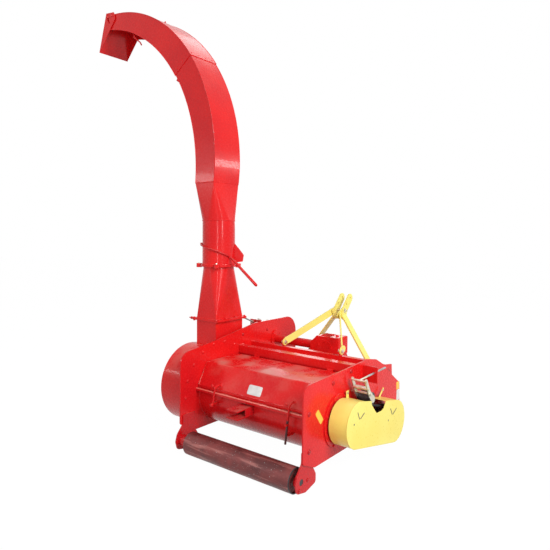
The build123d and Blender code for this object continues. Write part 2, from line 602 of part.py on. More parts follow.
def deflector_flap():
    """Hood at the spout's mouth: a panel between two cheeks."""
    top, foot, _ = flap_places()
    near = DUCT_NEAR - SHEET_T - SEAT_GAP - FLAP_GAP - SHEET_T
    far = DUCT_FAR + SHEET_T + SEAT_GAP + FLAP_GAP + SHEET_T
    lean = radians(FLAP_LEAN)
    across = (SHEET_T * cos(lean), -SHEET_T * sin(lean))
    panel = make_face(Polyline(top, foot, (foot[0] + across[0], foot[1] + across[1]),
                               (top[0] + across[0], top[1] + across[1]), close=True))
    flap = along_y(panel, near, far)
    for start in (near, far - SHEET_T):
        flap += along_y(flap_cheek(), start, start + SHEET_T)
    return flap


def flap_bolts():
    """Pivot and locking bolts of the flap, fixed in the duct's side walls."""
    _, _, (x, z) = flap_places()
    wall = SHEET_T + SEAT_GAP
    reach = FLAP_GAP + SHEET_T + BOLT_END
    pieces = []
    for bolt_x in (x, x - FLAP_LOCK_R):
        for y in (DUCT_NEAR - wall - reach, DUCT_FAR + wall):
            pieces.append(along_y(Pos(bolt_x, z) * Circle(BOLT_R), y, y + reach))
    return group(pieces)


# --- lid ----------------------------------------------------------------------------------------
def hood_lid():
    """Lid over the auger: flat from its hinge to the ridge, then sloping down to the sill."""
    rows = [(HINGE_Y - 12, LID_RIDGE_Z + 4, 0), (LID_RIDGE_Y, LID_RIDGE_Z, 12), (LID_EDGE_Y, LID_EDGE_Z, 0)]
    return sheet(rows, -INNER_HALF + SIDE_GAP, INNER_HALF - SIDE_GAP)


def lid_hinge_leaves():
    """Leaves and knuckles that the lid hangs on."""
    low = LID_RIDGE_Z + 4 + SHEET_T
    pieces = []
    for x in HINGE_PLACES:
        leaf = block(x - LEAF_HALF, x + LEAF_HALF, HINGE_Y - 48, HINGE_Y - 16, low, low + LEAF_T)
        leaf += block(x - KNUCKLE_HALF, x + KNUCKLE_HALF, HINGE_Y - 20, HINGE_Y, low, low + LEAF_T)
        leaf += disc(HINGE_Y, HINGE_Z, HINGE_R, x - KNUCKLE_HALF, x + KNUCKLE_HALF)
        pieces.append(leaf - disc(HINGE_Y, HINGE_Z, HINGE_PIN_R + RUN_FIT, x - LEAF_HALF, x + LEAF_HALF))
    return group(pieces)


def lid_hinge_lugs():
    """Pairs of lugs on the rear beam, each pair with its hinge pin."""
    start = KNUCKLE_HALF + HINGE_PLAY
    end = start + HINGE_LUG_T
    pieces = []
    for x in HINGE_PLACES:
        lug = disc(HINGE_Y, HINGE_Z, HINGE_PIN_R, x - end, x + end)
        for low in (x - end, x + start):
            high = low + HINGE_LUG_T
            lug += disc(HINGE_Y, HINGE_Z, HINGE_R, low, high)
            lug += block(low, high, HINGE_Y, BEAM_1[0], BEAM_1[2], HINGE_Z + HINGE_R)
        pieces.append(lug)
    return group(pieces)


def latch_bar(x_high, z_high, x_low, z_low):
    run = hypot(x_high - x_low, z_high - z_low)
    tilt = degrees(atan2(z_high - z_low, x_high - x_low))
    face = Rot(0, 0, tilt) * SlotCenterToCenter(run - LATCH_WIDTH, LATCH_WIDTH)
    return along_y(Pos((x_high + x_low) / 2, (z_high + z_low) / 2) * face, LATCH_Y, LATCH_Y + LATCH_T)


def lid_latches():
    """Levers that hang from the lid's slope and hook under the catches on the trough."""
    slope = (LID_RIDGE_Y - LID_EDGE_Y) / (LID_RIDGE_Z - LID_EDGE_Z)
    pieces = []
    for x_high, z_high, x_low, z_low in LATCHES:
        z = LID_EDGE_Z + 20
        x = x_high + (x_low - x_high) * (z_high - z) / (z_high - z_low)
        face_y = LID_EDGE_Y + slope * (z - LID_EDGE_Z) - SHEET_T * hypot(1, slope)
        stub = block(x - 8, x + 8, LATCH_Y + 1, face_y + 9, z - 8, z + 8)
        rear = [(face_y + 20, z + 20 / slope), (face_y - 20, z - 20 / slope), (face_y + 100, z - 20 / slope)]
        stub -= along_x(make_face(Polyline(*rear, close=True)), x - 10, x + 10)
        pieces.append(latch_bar(x_high, z_high, x_low, z_low) + stub)
    return group(pieces)


def latch_catches():
    """Catches on the trough that the latch levers reach over."""
    pieces = []
    for x_high, z_high, x_low, z_low in LATCHES:
        z = z_low + 20
        x = x_low + (x_high - x_low) * (z - z_low) / (z_high - z_low)
        catch = block(x - 14, x + 14, LATCH_Y + LATCH_T + 5, AUGER_Y, z - 8, z + 8)
        pieces.append(catch - trough_cylinder())
    return group(pieces)


# --- roller, rotor, auger and fan -----------------------------------------------------------------
def land_roller():
    """Steel tube with recessed end discs on stub shafts."""
    tube = disc(0, ROLLER_R, ROLLER_R, ROLLER_LEFT, ROLLER_RIGHT)
    tube -= disc(0, ROLLER_R, ROLLER_R - ROLLER_WALL, ROLLER_LEFT, ROLLER_RIGHT)
    for inner in (ROLLER_LEFT + ROLLER_RECESSES[0], ROLLER_RIGHT - ROLLER_RECESSES[1]):
        tube += disc(0, ROLLER_R, ROLLER_R - ROLLER_WALL / 2, inner, inner + ROLLER_DISC_T)
    reach = INNER_HALF - 2
    tube += disc(0, ROLLER_R, ROLLER_SHAFT_R, -reach, ROLLER_LEFT + 20)
    return tube + disc(0, ROLLER_R, ROLLER_SHAFT_R, ROLLER_RIGHT - 20, reach)


def flail_places():
    """(x, angle) of each flail, in staggered rows round the tube."""
    step = 2 * (INNER_HALF - 60) / FLAILS_PER_ROW
    places = []
    for row in range(FLAIL_ROWS):
        for index in range(FLAILS_PER_ROW):
            x = -INNER_HALF + 60 + step * (index + 0.25 + 0.5 * (row % 2))
            places.append((x, 360 / FLAIL_ROWS * row))
    return places


def at_rotor(piece, angle):
    return Pos(0, ROTOR_Y, ROTOR_Z) * Rot(angle, 0, 0) * piece


def lug_pin_height():
    return ROTOR_TUBE_R + LUG_REACH - LUG_TOP


def flail_rotor():
    """Rotor tube on its shaft, with a pair of lugs welded on for each flail."""
    half = INNER_HALF - ROTOR_GAP
    body = disc(ROTOR_Y, ROTOR_Z, ROTOR_TUBE_R, -half, half)
    body -= disc(ROTOR_Y, ROTOR_Z, ROTOR_TUBE_R - TUBE_WALL, TUBE_END - half, half - TUBE_END)
    reach = PULLEY_LOW + PULLEY_WIDTH + SHAFT_END
    body += disc(ROTOR_Y, ROTOR_Z, ROTOR_SHAFT_R, -reach, reach)
    low = ROTOR_TUBE_R - 3
    rows = [(-26, low, 0), (26, low, 0), (18, low + LUG_REACH, 14), (-18, low + LUG_REACH, 14)]
    plate = outline(rows) - Pos(0, lug_pin_height()) * Circle(FLAIL_PIN_R + RUN_FIT)
    lugs = []
    for x, angle in flail_places():
        for start in (x - LUG_HALF - LUG_T, x + LUG_HALF):
            lugs.append(at_rotor(along_x(plate, start, start + LUG_T), angle))
    return body.fuse(*lugs)


def flails():
    """Hanging cutters: a shank between its lugs with its pin, and a scoop-shaped blade at the tip."""
    pin_z = lug_pin_height()
    half = LUG_HALF - 1
    reach = LUG_HALF + LUG_T + 4
    shank = outline([(-13, pin_z - 14, 12), (13, pin_z - 14, 12), (9, ROTOR_TIP_R - 12, 0),
                     (-9, ROTOR_TIP_R - 12, 0)])
    # a blade bent forward at its cutting edge
    blade = outline([(-9, ROTOR_TIP_R - 46, 0), (-9 + FLAIL_T, ROTOR_TIP_R - 46, 0),
                     (-9 + FLAIL_T, ROTOR_TIP_R - 22, 0), (20, ROTOR_TIP_R - 10, 0),
                     (16, ROTOR_TIP_R - 3, 0), (-9, ROTOR_TIP_R - 14, 0)])
    pieces = []
    for x, angle in flail_places():
        flail = along_x(shank, x - half, x + half)
        flail += along_x(blade, x - FLAIL_WIDTH / 2, x + FLAIL_WIDTH / 2)
        flail += disc(0, pin_z, FLAIL_PIN_R, x - reach, x + reach)
        pieces.append(at_rotor(flail, angle))
    return group(pieces)


def auger_tube():
    """Auger tube and shaft, from the drum's bearing to the right-hand pulley."""
    drum_end = -INNER_HALF - PLATE_T - DRUM_DEPTH
    low, high = drum_end + AUGER_GAPS[0], INNER_HALF - AUGER_GAPS[1]
    body = disc(AUGER_Y, AUGER_Z, AUGER_TUBE_R, low, high)
    body -= disc(AUGER_Y, AUGER_Z, AUGER_TUBE_R - TUBE_WALL, low + TUBE_END, high - TUBE_END)
    return body + disc(AUGER_Y, AUGER_Z, AUGER_SHAFT_R, drum_end - 20, PULLEY_LOW + PULLEY_WIDTH + SHAFT_END)


def auger_flight():
    """Helical flight: a ring sector carried along the shaft and turned with it."""
    length = 2 * INNER_HALF - sum(FLIGHT_GAPS)
    inner, outer = AUGER_TUBE_R + SEAT_GAP, AUGER_R
    a = pi * AUGER_FLIGHT_T / AUGER_PITCH
    face = make_face([
        Line((inner * cos(a), -inner * sin(a)), (outer * cos(a), -outer * sin(a))),
        ThreePointArc((outer * cos(a), -outer * sin(a)), (outer, 0), (outer * cos(a), outer * sin(a))),
        Line((outer * cos(a), outer * sin(a)), (inner * cos(a), inner * sin(a))),
        ThreePointArc((inner * cos(a), inner * sin(a)), (inner, 0), (inner * cos(a), -inner * sin(a))),
    ])
    turns = length / AUGER_PITCH
    flight = Solid.extrude_linear_with_rotation(face.faces()[0], (0, 0, 0), (0, 0, length), 360 * turns)
    place = Plane(origin=(-INNER_HALF + FLIGHT_GAPS[0], AUGER_Y, AUGER_Z), x_dir=(0, 1, 0), z_dir=(1, 0, 0))
    return place * flight


def fan_rotor():
    """Throwing paddles on a hub, inside the drum."""
    x_high = -INNER_HALF - PLATE_T - FAN_CAP
    x_low = x_high - (DRUM_DEPTH - 2 * FAN_CAP)
    hub = disc(AUGER_Y, AUGER_Z, AUGER_TUBE_R + 20, x_low, x_high)
    root = AUGER_TUBE_R + 10
    # (across, out, corner radius): a flat paddle with its tip folded forward
    paddle = outline([(-4, root, 0), (4, root, 0), (4, FAN_R - 26, 0), (20, FAN_R - 8, 0),
                      (14, FAN_R - 2, 0), (-4, FAN_R - 22, 0)])
    for index in range(FAN_BLADES):
        blade = along_x(paddle, x_low, x_high)
        hub += Pos(0, AUGER_Y, AUGER_Z) * Rot(360 / FAN_BLADES * index + 45, 0, 0) * blade
    return hub - disc(AUGER_Y, AUGER_Z, AUGER_TUBE_R, x_low - 1, x_high + 1)


# --- belt drives ----------------------------------------------------------------------------------
def pulley(y, z, radius, shaft_r):
    """Grooved belt pulley with a web and a hub."""
    low, high = PULLEY_LOW, PULLEY_LOW + PULLEY_WIDTH
    wheel = disc(y, z, radius, low, high)
    for x in (low + 17, low + 35, low + 53):
        wheel -= disc(y, z, radius + 1, x - 5, x + 5) - disc(y, z, radius - 8, x - 6, x + 6)
    for x_low, x_high in ((low, low + 22), (high - 22, high)):
        wheel -= disc(y, z, radius - 22, x_low, x_high) - disc(y, z, shaft_r + 16, x_low, x_high)
    return wheel - disc(y, z, shaft_r, low, high)


def loop_face(first, second, grow):
    """Hull of two circles; first and second are (y, z, radius)."""
    rings = [Pos(y, z) * Circle(radius + grow) for y, z, radius in (first, second)]
    return make_hull(rings[0].edges() + rings[1].edges())


def belt(drive):
    loop = loop_face(*drive, BELT_T + SEAT_GAP) - loop_face(*drive, SEAT_GAP)
    low = PULLEY_LOW + (PULLEY_WIDTH - BELT_WIDTH) / 2
    return along_x(loop, low, low + BELT_WIDTH)


def idler_radius(place, drive):
    """Distance from a point to the outside of the belt's straight run on its side."""
    (y1, z1, r1), (y2, z2, r2) = drive
    run = hypot(y2 - y1, z2 - z1)
    along = (r1 - r2) / run
    across = sqrt(1 - along ** 2)
    uy, uz = (y2 - y1) / run, (z2 - z1) / run
    ny, nz = uy * along - uz * across, uz * along + uy * across
    return ny * (place[0] - y1) + nz * (place[1] - z1) - r1 - BELT_T - 2 * SEAT_GAP


def belt_idlers():
    """Smooth rollers that press on the backs of the two belts."""
    low, high = PULLEY_LOW - 6, PULLEY_LOW + PULLEY_WIDTH + 6
    right = disc(*IDLER_RIGHT, idler_radius(IDLER_RIGHT, RIGHT_DRIVE), low, high)
    left = disc(*IDLER_LEFT, idler_radius(IDLER_LEFT, LEFT_DRIVE), low, high)
    right -= disc(*IDLER_RIGHT, ARM_ROD_R, low, high)
    return group([right, mirrored(left - disc(*IDLER_LEFT, ARM_ROD_R, low, high))])


def guard(lobes, notches):
    """Cover over a belt drive, open towards the side plate."""
    cover = along_x(loop_face(*lobes, 0), GUARD_IN, GUARD_OUT)
    cover -= along_x(loop_face(*lobes, -GUARD_T), GUARD_IN, GUARD_OUT - GUARD_T)
    for rows, depth in notches:
        cover -= along_x(outline(rows), GUARD_IN, GUARD_OUT - depth)
    return cover


def right_belt_guard():
    lobes = ((AUGER_Y, AUGER_Z, GUARD_R), (ROTOR_Y, ROTOR_Z, GUARD_R))
    notch = [(560, 700, 0), (575, 437, 20), (645, 362, 55), (745, 362, 55), (800, 430, 20), (830, 700, 0)]
    rim = [(500, 600, 0), (500, 400, 0), (620, 400, 0), (620, 600, 0)]
    return guard(lobes, ((notch, 0), (rim, GUARD_T)))


def left_belt_guard():
    lobes = ((ROTOR_Y, ROTOR_Z, LEFT_GUARD_RADII[0]), (CROSS_Y, CROSS_Z, LEFT_GUARD_RADII[1]))
    notch = [(820, 560, 0), (975, 540, 20), (1010, 640, 0), (1120, 720, 20), (1080, 880, 0), (860, 840, 0)]
    return mirrored(guard(lobes, ((notch, 0),)))


def guard_posts():
    """Posts inside the belt loops that the guards are screwed to."""
    low, high = INNER_HALF + PLATE_T, GUARD_OUT - GUARD_T
    right = [disc(y, z, POST_R, low, high) for y, z in ((590, 300), (770, 262))]
    left = [mirrored(disc(y, z, POST_R, low, high)) for y, z in ((1000, 380), (1052, 520))]
    return group(right + left)


def bearing(y, z, sizes, shaft_r):
    """Flanged bearing on the outside of a side plate."""
    flange_r, flange_t, hub_r, hub = sizes
    low = INNER_HALF + PLATE_T
    body = disc(y, z, flange_r, low, low + flange_t) + disc(y, z, hub_r, low, low + hub)
    return body - disc(y, z, shaft_r + RUN_FIT, low, low + hub)


def shaft_bearings():
    rotor = bearing(ROTOR_Y, ROTOR_Z, ROTOR_BEARING, ROTOR_SHAFT_R)
    cross = bearing(CROSS_Y, CROSS_Z, CROSS_BEARING, CROSS_SHAFT_R)
    return group([rotor, mirrored(rotor), mirrored(cross)])


def arms(rows, pivot, rods):
    """Two arms on a pivot, joined by cross rods and a sleeve."""
    plate = outline(rows) - Pos(*pivot) * Circle(PIVOT_R + RUN_FIT)
    whole = along_x(plate, ARM_IN, ARM_IN + ARM_T) + along_x(plate, ARM_OUT, ARM_OUT + ARM_T)
    for y, z, radius in rods:
        whole += disc(y, z, radius, ARM_IN, ARM_OUT + ARM_T)
    return whole


def tensioner_arms():
    right = [(505, 612, 12), (530, 618, 12), (586, 516, 20), (650, 470, 18), (640, 440, 18),
             (605, 440, 18), (556, 500, 20)]
    left = [(910, 600, 14), (944, 588, 14), (1010, 706, 20), (1078, 798, 10), (1022, 823, 10), (962, 724, 20)]
    right_rods = ((519, 601, ARM_ROD_R), (546, 548, 14), (*IDLER_RIGHT, ARM_ROD_R))
    left_rods = ((1032, 755, ARM_ROD_R), (*IDLER_LEFT, ARM_ROD_R))
    return group([arms(right, RIGHT_TENSION["pivot"], right_rods),
                  mirrored(arms(left, LEFT_TENSION["pivot"], left_rods))])


def tension_rod_at(tension, y):
    (y1, z1), (y2, z2) = tension["rod"]
    return z1 + (z2 - z1) * (y - y1) / (y2 - y1)


def tensioner_rod(tension):
    """Threaded rod from the arms through the lug, with a nut behind the lug."""
    (y1, z1), (y2, z2) = tension["rod"]
    lug_y = tension["lug"][0]
    step = 1 if y2 > y1 else -1
    start = y1 + step * (ARM_ROD_R + SEAT_GAP)
    whole = rod([(ROD_X, start, tension_rod_at(tension, start)), (ROD_X, y2, z2)], TENSION_ROD_R)
    nut_y = lug_y + (PLATE_T if step > 0 else 0) + step * (SEAT_GAP + NUT_HALF)
    nut = extrude(RegularPolygon(NUT_R, 6), amount=NUT_HALF, both=True)
    return whole + Pos(ROD_X, nut_y, tension_rod_at(tension, nut_y)) * Rot(90, 0, 0) * nut


def tensioner_lug(tension):
    y, z_low, z_high = tension["lug"]
    plate = block(INNER_HALF + PLATE_T, ROD_X + 30, y, y + PLATE_T, z_low, z_high)
    hole_z = tension_rod_at(tension, y + PLATE_T / 2)
    return plate - Pos(ROD_X, y, hole_z) * Rot(90, 0, 0) * Cylinder(TENSION_HOLE_R, 6 * PLATE_T)


def auger_bearing_plate():
    return bearing(AUGER_Y, AUGER_Z, AUGER_BEARING, AUGER_SHAFT_R)


# --- gearbox and cross shaft ------------------------------------------------------------------------
def gearbox():
    """Bevel gearbox: a case between the cross tube and the input shaft."""
    x_low, x_high, y_low, y_high, z_low, z_high = GEARBOX
    case_face = outline([(x_low, z_low, 8), (x_high, z_low, 8), (x_high, z_high, 8),
                         (x_low + 62, z_high, 12), (x_low, z_high - 60, 12)])
    case = along_y(case_face, y_low, y_high)
    cover = case_face & (Pos(INPUT_X, INPUT_Z) * Circle(COVER_R))
    case += along_y(cover, y_low - COVER_T, y_low)
    case += along_y(Pos(INPUT_X, INPUT_Z) * Circle(BOSS_R), y_high, y_high + BOSS_REACH)
    bore = Pos(INPUT_X, INPUT_Z) * Circle(JOURNAL_R + RUN_FIT)
    case -= along_y(bore, y_high + BOSS_REACH - BOSS_BORE, y_high + BOSS_REACH)
    return case - disc(CROSS_Y, CROSS_Z, CROSS_SHAFT_R + RUN_FIT, x_low, x_low + CROSS_BORE)


def gearbox_cradle():
    """Two upright plates on the hitch beam that carry the gearbox."""
    x_low, x_high, y_low, y_high, z_low, z_high = GEARBOX
    pieces = []
    for x in (x_low + 20, x_high - 30):
        rows = [(HITCH_BEAM[0] + 1, HITCH_BEAM[3], 0), (HITCH_BEAM[1], HITCH_BEAM[3], 0),
                (HITCH_BEAM[1] - 26, z_low, 0), (HITCH_BEAM[0] + 1, z_low, 0)]
        pieces.append(along_x(outline(rows), x, x + PLATE_T))
    return group(pieces)


def cross_tube():
    """Tube round the cross shaft, from the gearbox to the flange on the left side plate."""
    low, high = -INNER_HALF, GEARBOX[0]
    tube = disc(CROSS_Y, CROSS_Z, CROSS_TUBE_R, low, high)
    tube += disc(CROSS_Y, CROSS_Z, CROSS_FLANGE_R, low, low + CROSS_FLANGE_T)
    collar = high - CROSS_COLLAR_T
    tube += disc(CROSS_Y, CROSS_Z, CROSS_COLLAR_R, collar, high)
    tube -= block(collar, high, *HITCH_BEAM[:2], 0, GEARBOX[4])
    return tube - disc(CROSS_Y, CROSS_Z, CROSS_TUBE_R - CROSS_TUBE_WALL, low, high)


def cross_shaft():
    reach = PULLEY_LOW + PULLEY_WIDTH + SHAFT_END
    return disc(CROSS_Y, CROSS_Z, CROSS_SHAFT_R, -reach, GEARBOX[0] + CROSS_BORE - 2)


def input_shaft():
    """Input shaft of the gearbox: a journal in its boss and a free end for the tractor's drive shaft."""
    face = GEARBOX[3] + BOSS_REACH
    centre = Pos(INPUT_X, INPUT_Z)
    journal = along_y(centre * Circle(JOURNAL_R), face - BOSS_BORE + 1, face)
    return journal + along_y(centre * Circle(INPUT_R), face, face + INPUT_LENGTH)


# --- hitch ----------------------------------------------------------------------------------------
def mast_strap(side):
    """Flat bar of the mast: a cheek of the top-link clevis, bent out into a leg to the hitch beam."""
    inner = CLEVIS_HALF
    second = (TOP_PIN_Y + SECOND_HOLE[0], TOP_PIN_Z + SECOND_HOLE[1])
    strap = link((BEND_Y, BEND_Z), (TOP_PIN_Y, TOP_PIN_Z), MAST_WIDTH, inner, inner + MAST_T)
    strap += link((KNEE_Y, KNEE_Z), (BEND_Y, BEND_Z), MAST_WIDTH, inner, inner + MAST_T)
    foot_z = HITCH_BEAM[3]
    top = (inner + MAST_T / 2, KNEE_Y, KNEE_Z)
    foot = (top[0] + LEG_SPREAD, LEG_FOOT_Y, foot_z)
    leg = bar(top, foot, (0, 1, 0), LEG_WIDTH, MAST_T, 24)
    strap += leg - block(0, 900, 1000, 1400, 0, foot_z) - block(-100, inner, 1000, 1400, 0, 1200)
    for y, z in ((TOP_PIN_Y, TOP_PIN_Z), second):
        strap -= disc(y, z, TOP_PIN_R, 0, 100)
    strap -= disc(BEND_Y, BEND_Z, BOLT_R + RUN_FIT, 0, 100)
    return Pos(MAST_X, 0, 0) * (strap if side > 0 else mirrored(strap))


def mast_straps():
    return group([mast_strap(-1), mast_strap(1)])


def mast_brace(foot_x, top_x, tab_run, trim_y):
    """Flat bar from the clevis back to its lug on the front beam, with flat tabs at both ends."""
    tab_end = (BEND_Y - tab_run, BEND_Z - 0.57 * tab_run)
    low = (foot_x + BRACE_T / 2, BRACE_FOOT_Y + 6, BRACE_FOOT_Z + 4)
    high = (top_x + BRACE_T / 2, *tab_end)
    brace = bar(low, high, (0, 0, 1), BRACE_WIDTH, BRACE_T, 6)
    brace -= block(top_x + BRACE_T, top_x + 500, trim_y, trim_y + 500, 0, 2 * BEND_Z)
    brace -= block(foot_x - 500, foot_x, 0, BEAM_2[1], 0, BEND_Z)
    brace += link((BEND_Y, BEND_Z), (tab_end[0] - 12, tab_end[1] - 6), BRACE_WIDTH, top_x, top_x + BRACE_T)
    brace += link((BRACE_FOOT_Y, BRACE_FOOT_Z), (BRACE_FOOT_Y + 22, BRACE_FOOT_Z + 12), BRACE_WIDTH,
                  foot_x, foot_x + BRACE_T)
    for y, z, x in ((BEND_Y, BEND_Z, top_x), (BRACE_FOOT_Y, BRACE_FOOT_Z, foot_x)):
        brace -= disc(y, z, BOLT_R + RUN_FIT, x - 40, x + 40)
    return brace


def mast_braces():
    return group([mast_brace(*row) for row in BRACES])


def brace_lug(foot_x):
    """Upright lug on the front beam, beside the foot of a brace."""
    low, high = BEAM_2[0] + 4, BEAM_2[1] - 4
    rows = [(low, BEAM_2[3], 0), (high, BEAM_2[3], 0), (high, BRACE_FOOT_Z + 20, 14),
            (low, BRACE_FOOT_Z + 20, 14)]
    lug = along_x(outline(rows), foot_x - PLATE_T, foot_x)
    return lug - disc(BRACE_FOOT_Y, BRACE_FOOT_Z, BOLT_R + RUN_FIT, foot_x - 20, foot_x + 1)


def frame_lugs():
    """Lugs of the braces and of the two belt tensioners."""
    return group([brace_lug(row[0]) for row in BRACES]
                 + [tensioner_lug(RIGHT_TENSION), mirrored(tensioner_lug(LEFT_TENSION))])


def mast_bolts():
    """Long bolt through the clevis and both braces, and a bolt at each brace's foot."""
    reach = CLEVIS_HALF + MAST_T + BRACE_T + LONG_BOLT_END
    pieces = [disc(BEND_Y, BEND_Z, BOLT_R, MAST_X - reach, MAST_X + reach)]
    for foot_x, _, _, _ in BRACES:
        low, high = foot_x - PLATE_T - BOLT_END, foot_x + BRACE_T + BOLT_END
        pieces.append(disc(BRACE_FOOT_Y, BRACE_FOOT_Z, BOLT_R, low, high))
    return group(pieces)


def hitch_brackets():
    """Two pairs of plates on the hitch beam, with holes for the lower link pins."""
    rows = [(HITCH_BEAM[1], HITCH_BEAM[2] + 12, 0), (LINK_Y + 20, LINK_Z - 32, 20),
            (LINK_Y + 32, LINK_Z + 12, 24), (LINK_Y - 12, LINK_Z + 32, 24), (HITCH_BEAM[1], HITCH_BEAM[3], 0)]
    face = outline(rows) - Pos(LINK_Y, LINK_Z) * Circle(LINK_HOLE_R)
    pieces = []
    for middle in (MAST_X - LINK_HALF, MAST_X + LINK_HALF):
        for x in (middle - LINK_PLATE_HALF, middle + LINK_PLATE_HALF):
            pieces.append(along_x(face, x - PLATE_T / 2, x + PLATE_T / 2))
    return group(pieces)


def stand():
    """Parking stand inside the front of a side plate: a leg on a pivot with a flat foot."""
    low, high = STAND_X - STAND_T / 2, STAND_X + STAND_T / 2
    leg = outline([(STAND_Y - 22, 8, 0), (STAND_Y + 12, 8, 0), (STAND_Y + 24, STAND_Z + 24, 22),
                   (STAND_Y - 24, STAND_Z + 24, 22)])
    whole = along_x(leg, low, high)
    whole += block(low - 50, high + 4, STAND_Y - 62, STAND_Y + 18, 0, STAND_FOOT_T)
    return whole - disc(STAND_Y, STAND_Z, STAND_PIN_R + RUN_FIT, low - 1, high + 1)


def pivot_pins():
    """Fixed pins that the stands and the tensioner arms turn on."""
    outer = INNER_HALF + PLATE_T
    stand_pin = disc(STAND_Y, STAND_Z, STAND_PIN_R, STAND_X - STAND_T / 2 - 8, INNER_HALF)
    right = disc(*RIGHT_TENSION["pivot"], PIVOT_R, outer, ARM_OUT + ARM_T + SHAFT_END)
    left = disc(*LEFT_TENSION["pivot"], PIVOT_R, outer, ARM_OUT + ARM_T + SHAFT_END)
    return group([stand_pin, mirrored(stand_pin), right, mirrored(left)])


# --- assembly -----------------------------------------------------------------------------------
right_rotor_pulley = pulley(ROTOR_Y, ROTOR_Z, ROTOR_PULLEY_R, ROTOR_SHAFT_R)
left_rotor_pulley = mirrored(pulley(ROTOR_Y, ROTOR_Z, DRIVEN_PULLEY_R, ROTOR_SHAFT_R))

nodes = {
    "left_side_plate": left_side_plate(),
    "right_side_plate": right_side_plate(),
    "roller_brackets": roller_brackets(),
    "auger_trough": auger_trough(),
    "trough_apron": trough_apron(),
    "lid_sill": lid_sill(),
    "rotor_hood": rotor_hood(),
    "deck": deck(),
    "rear_beam": beam(BEAM_1),
    "front_beam": beam(BEAM_2),
    "hitch_beam": beam(HITCH_BEAM),
    "drawbar_socket": drawbar_socket(),
    "latch_catches": latch_catches(),
    "lid_hinge_lugs": lid_hinge_lugs(),
    "frame_lugs": frame_lugs(),
    "pivot_pins": pivot_pins(),
    "fan_drum": fan_drum(),
    "outlet_box": outlet_box(),
    "spout_neck": spout_neck(),
    "ring_clamps": ring_clamps(),
    "shaft_bearings": shaft_bearings(),
    "auger_bearing_plate": auger_bearing_plate(),
    "drive_belts": group([belt(RIGHT_DRIVE), mirrored(belt(LEFT_DRIVE))]),
    "belt_idlers": belt_idlers(),
    "tensioner_arms": tensioner_arms(),
    "tensioner_rods": group([tensioner_rod(RIGHT_TENSION), mirrored(tensioner_rod(LEFT_TENSION))]),
    "right_belt_guard": right_belt_guard(),
    "left_belt_guard": left_belt_guard(),
    "guard_posts": guard_posts(),
    "gearbox": gearbox(),
    "gearbox_cradle": gearbox_cradle(),
    "cross_tube": cross_tube(),
    "mast_straps": mast_straps(),
    "mast_braces": mast_braces(),
    "mast_bolts": mast_bolts(),
    "hitch_brackets": hitch_brackets(),
    "spout_tube": spout_tube(),
    "turning_rod": turning_rod(),
    "spout_transition": spout_transition(),
    "lower_duct": lower_duct(),
    "upper_duct": upper_duct(),
    "flap_bolts": flap_bolts(),
    "deflector_flap": deflector_flap(),
    "hood_lid": hood_lid(),
    "lid_hinge_leaves": lid_hinge_leaves(),
    "lid_latches": lid_latches(),
    "land_roller": land_roller(),
    "flail_rotor": flail_rotor(),
    "flails": flails(),
    "rotor_pulleys": group([right_rotor_pulley, left_rotor_pulley]),
    "auger_tube": auger_tube(),
    "auger_flight": auger_flight(),
    "fan_rotor": fan_rotor(),
    "auger_pulley": pulley(AUGER_Y, AUGER_Z, AUGER_PULLEY_R, AUGER_SHAFT_R),
    "cross_shaft": cross_shaft(),
    "cross_pulley": mirrored(pulley(CROSS_Y, CROSS_Z, CROSS_PULLEY_R, CROSS_SHAFT_R)),
    "input_shaft": input_shaft(),
    "left_stand": mirrored(stand()),
    "right_stand": stand(),
}

# The origin moves to the bottom centre of the whole machine's box.
boxes = [shape.bounding_box() for shape in nodes.values()]
x_mid = (min(box.min.X for box in boxes) + max(box.max.X for box in boxes)) / 2
y_mid = (min(box.min.Y for box in boxes) + max(box.max.Y for box in boxes)) / 2
z_low = min(box.min.Z for box in boxes)
origin_shift = Pos(-x_mid, -y_mid, -z_low)
print("shift", -x_mid, -y_mid, -z_low)

os.makedirs("parts", exist_ok=True)
for name, shape in nodes.items():
    export_step(origin_shift * shape, f"parts/{name}.step")
print(len(nodes), "nodes")
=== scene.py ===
import json
import math

import bmesh
import bpy
import numpy as np
from mathutils import Matrix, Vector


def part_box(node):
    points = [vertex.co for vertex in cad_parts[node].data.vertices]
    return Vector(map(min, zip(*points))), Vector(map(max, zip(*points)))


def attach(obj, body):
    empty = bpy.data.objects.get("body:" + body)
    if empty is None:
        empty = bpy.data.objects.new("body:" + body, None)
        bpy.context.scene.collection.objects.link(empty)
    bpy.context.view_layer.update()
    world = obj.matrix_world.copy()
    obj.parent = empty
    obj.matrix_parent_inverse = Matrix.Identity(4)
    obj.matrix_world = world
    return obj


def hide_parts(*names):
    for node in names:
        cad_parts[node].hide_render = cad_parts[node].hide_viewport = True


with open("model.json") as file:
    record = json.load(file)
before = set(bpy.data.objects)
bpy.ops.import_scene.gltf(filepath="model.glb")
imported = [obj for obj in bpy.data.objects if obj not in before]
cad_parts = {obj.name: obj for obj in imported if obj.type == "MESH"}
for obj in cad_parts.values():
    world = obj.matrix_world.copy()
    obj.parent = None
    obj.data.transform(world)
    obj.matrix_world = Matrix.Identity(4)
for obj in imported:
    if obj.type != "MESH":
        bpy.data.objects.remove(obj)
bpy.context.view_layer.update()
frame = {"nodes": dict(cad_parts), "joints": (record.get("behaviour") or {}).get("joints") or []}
nodes = frame["nodes"]
jointPlaces = {joint["name"]: np.array(joint["pos_m"]) for joint in frame["joints"]}

# places are measured from the ground under the middle of the roller: x right, y forward, z up
origin = np.array([*jointPlaces["roller_spin"][:2], 0.0])
jointAt = {name: place - origin for name, place in jointPlaces.items()}
xAxis, yAxis, zAxis = np.eye(3)
print("frame loaded:", len(nodes), "nodes")


def low(node):
    return np.array(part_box(node)[0]) - origin


def high(node):
    return np.array(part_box(node)[1]) - origin


# low and high corner of a node's box
def corners(node):
    return low(node), high(node)


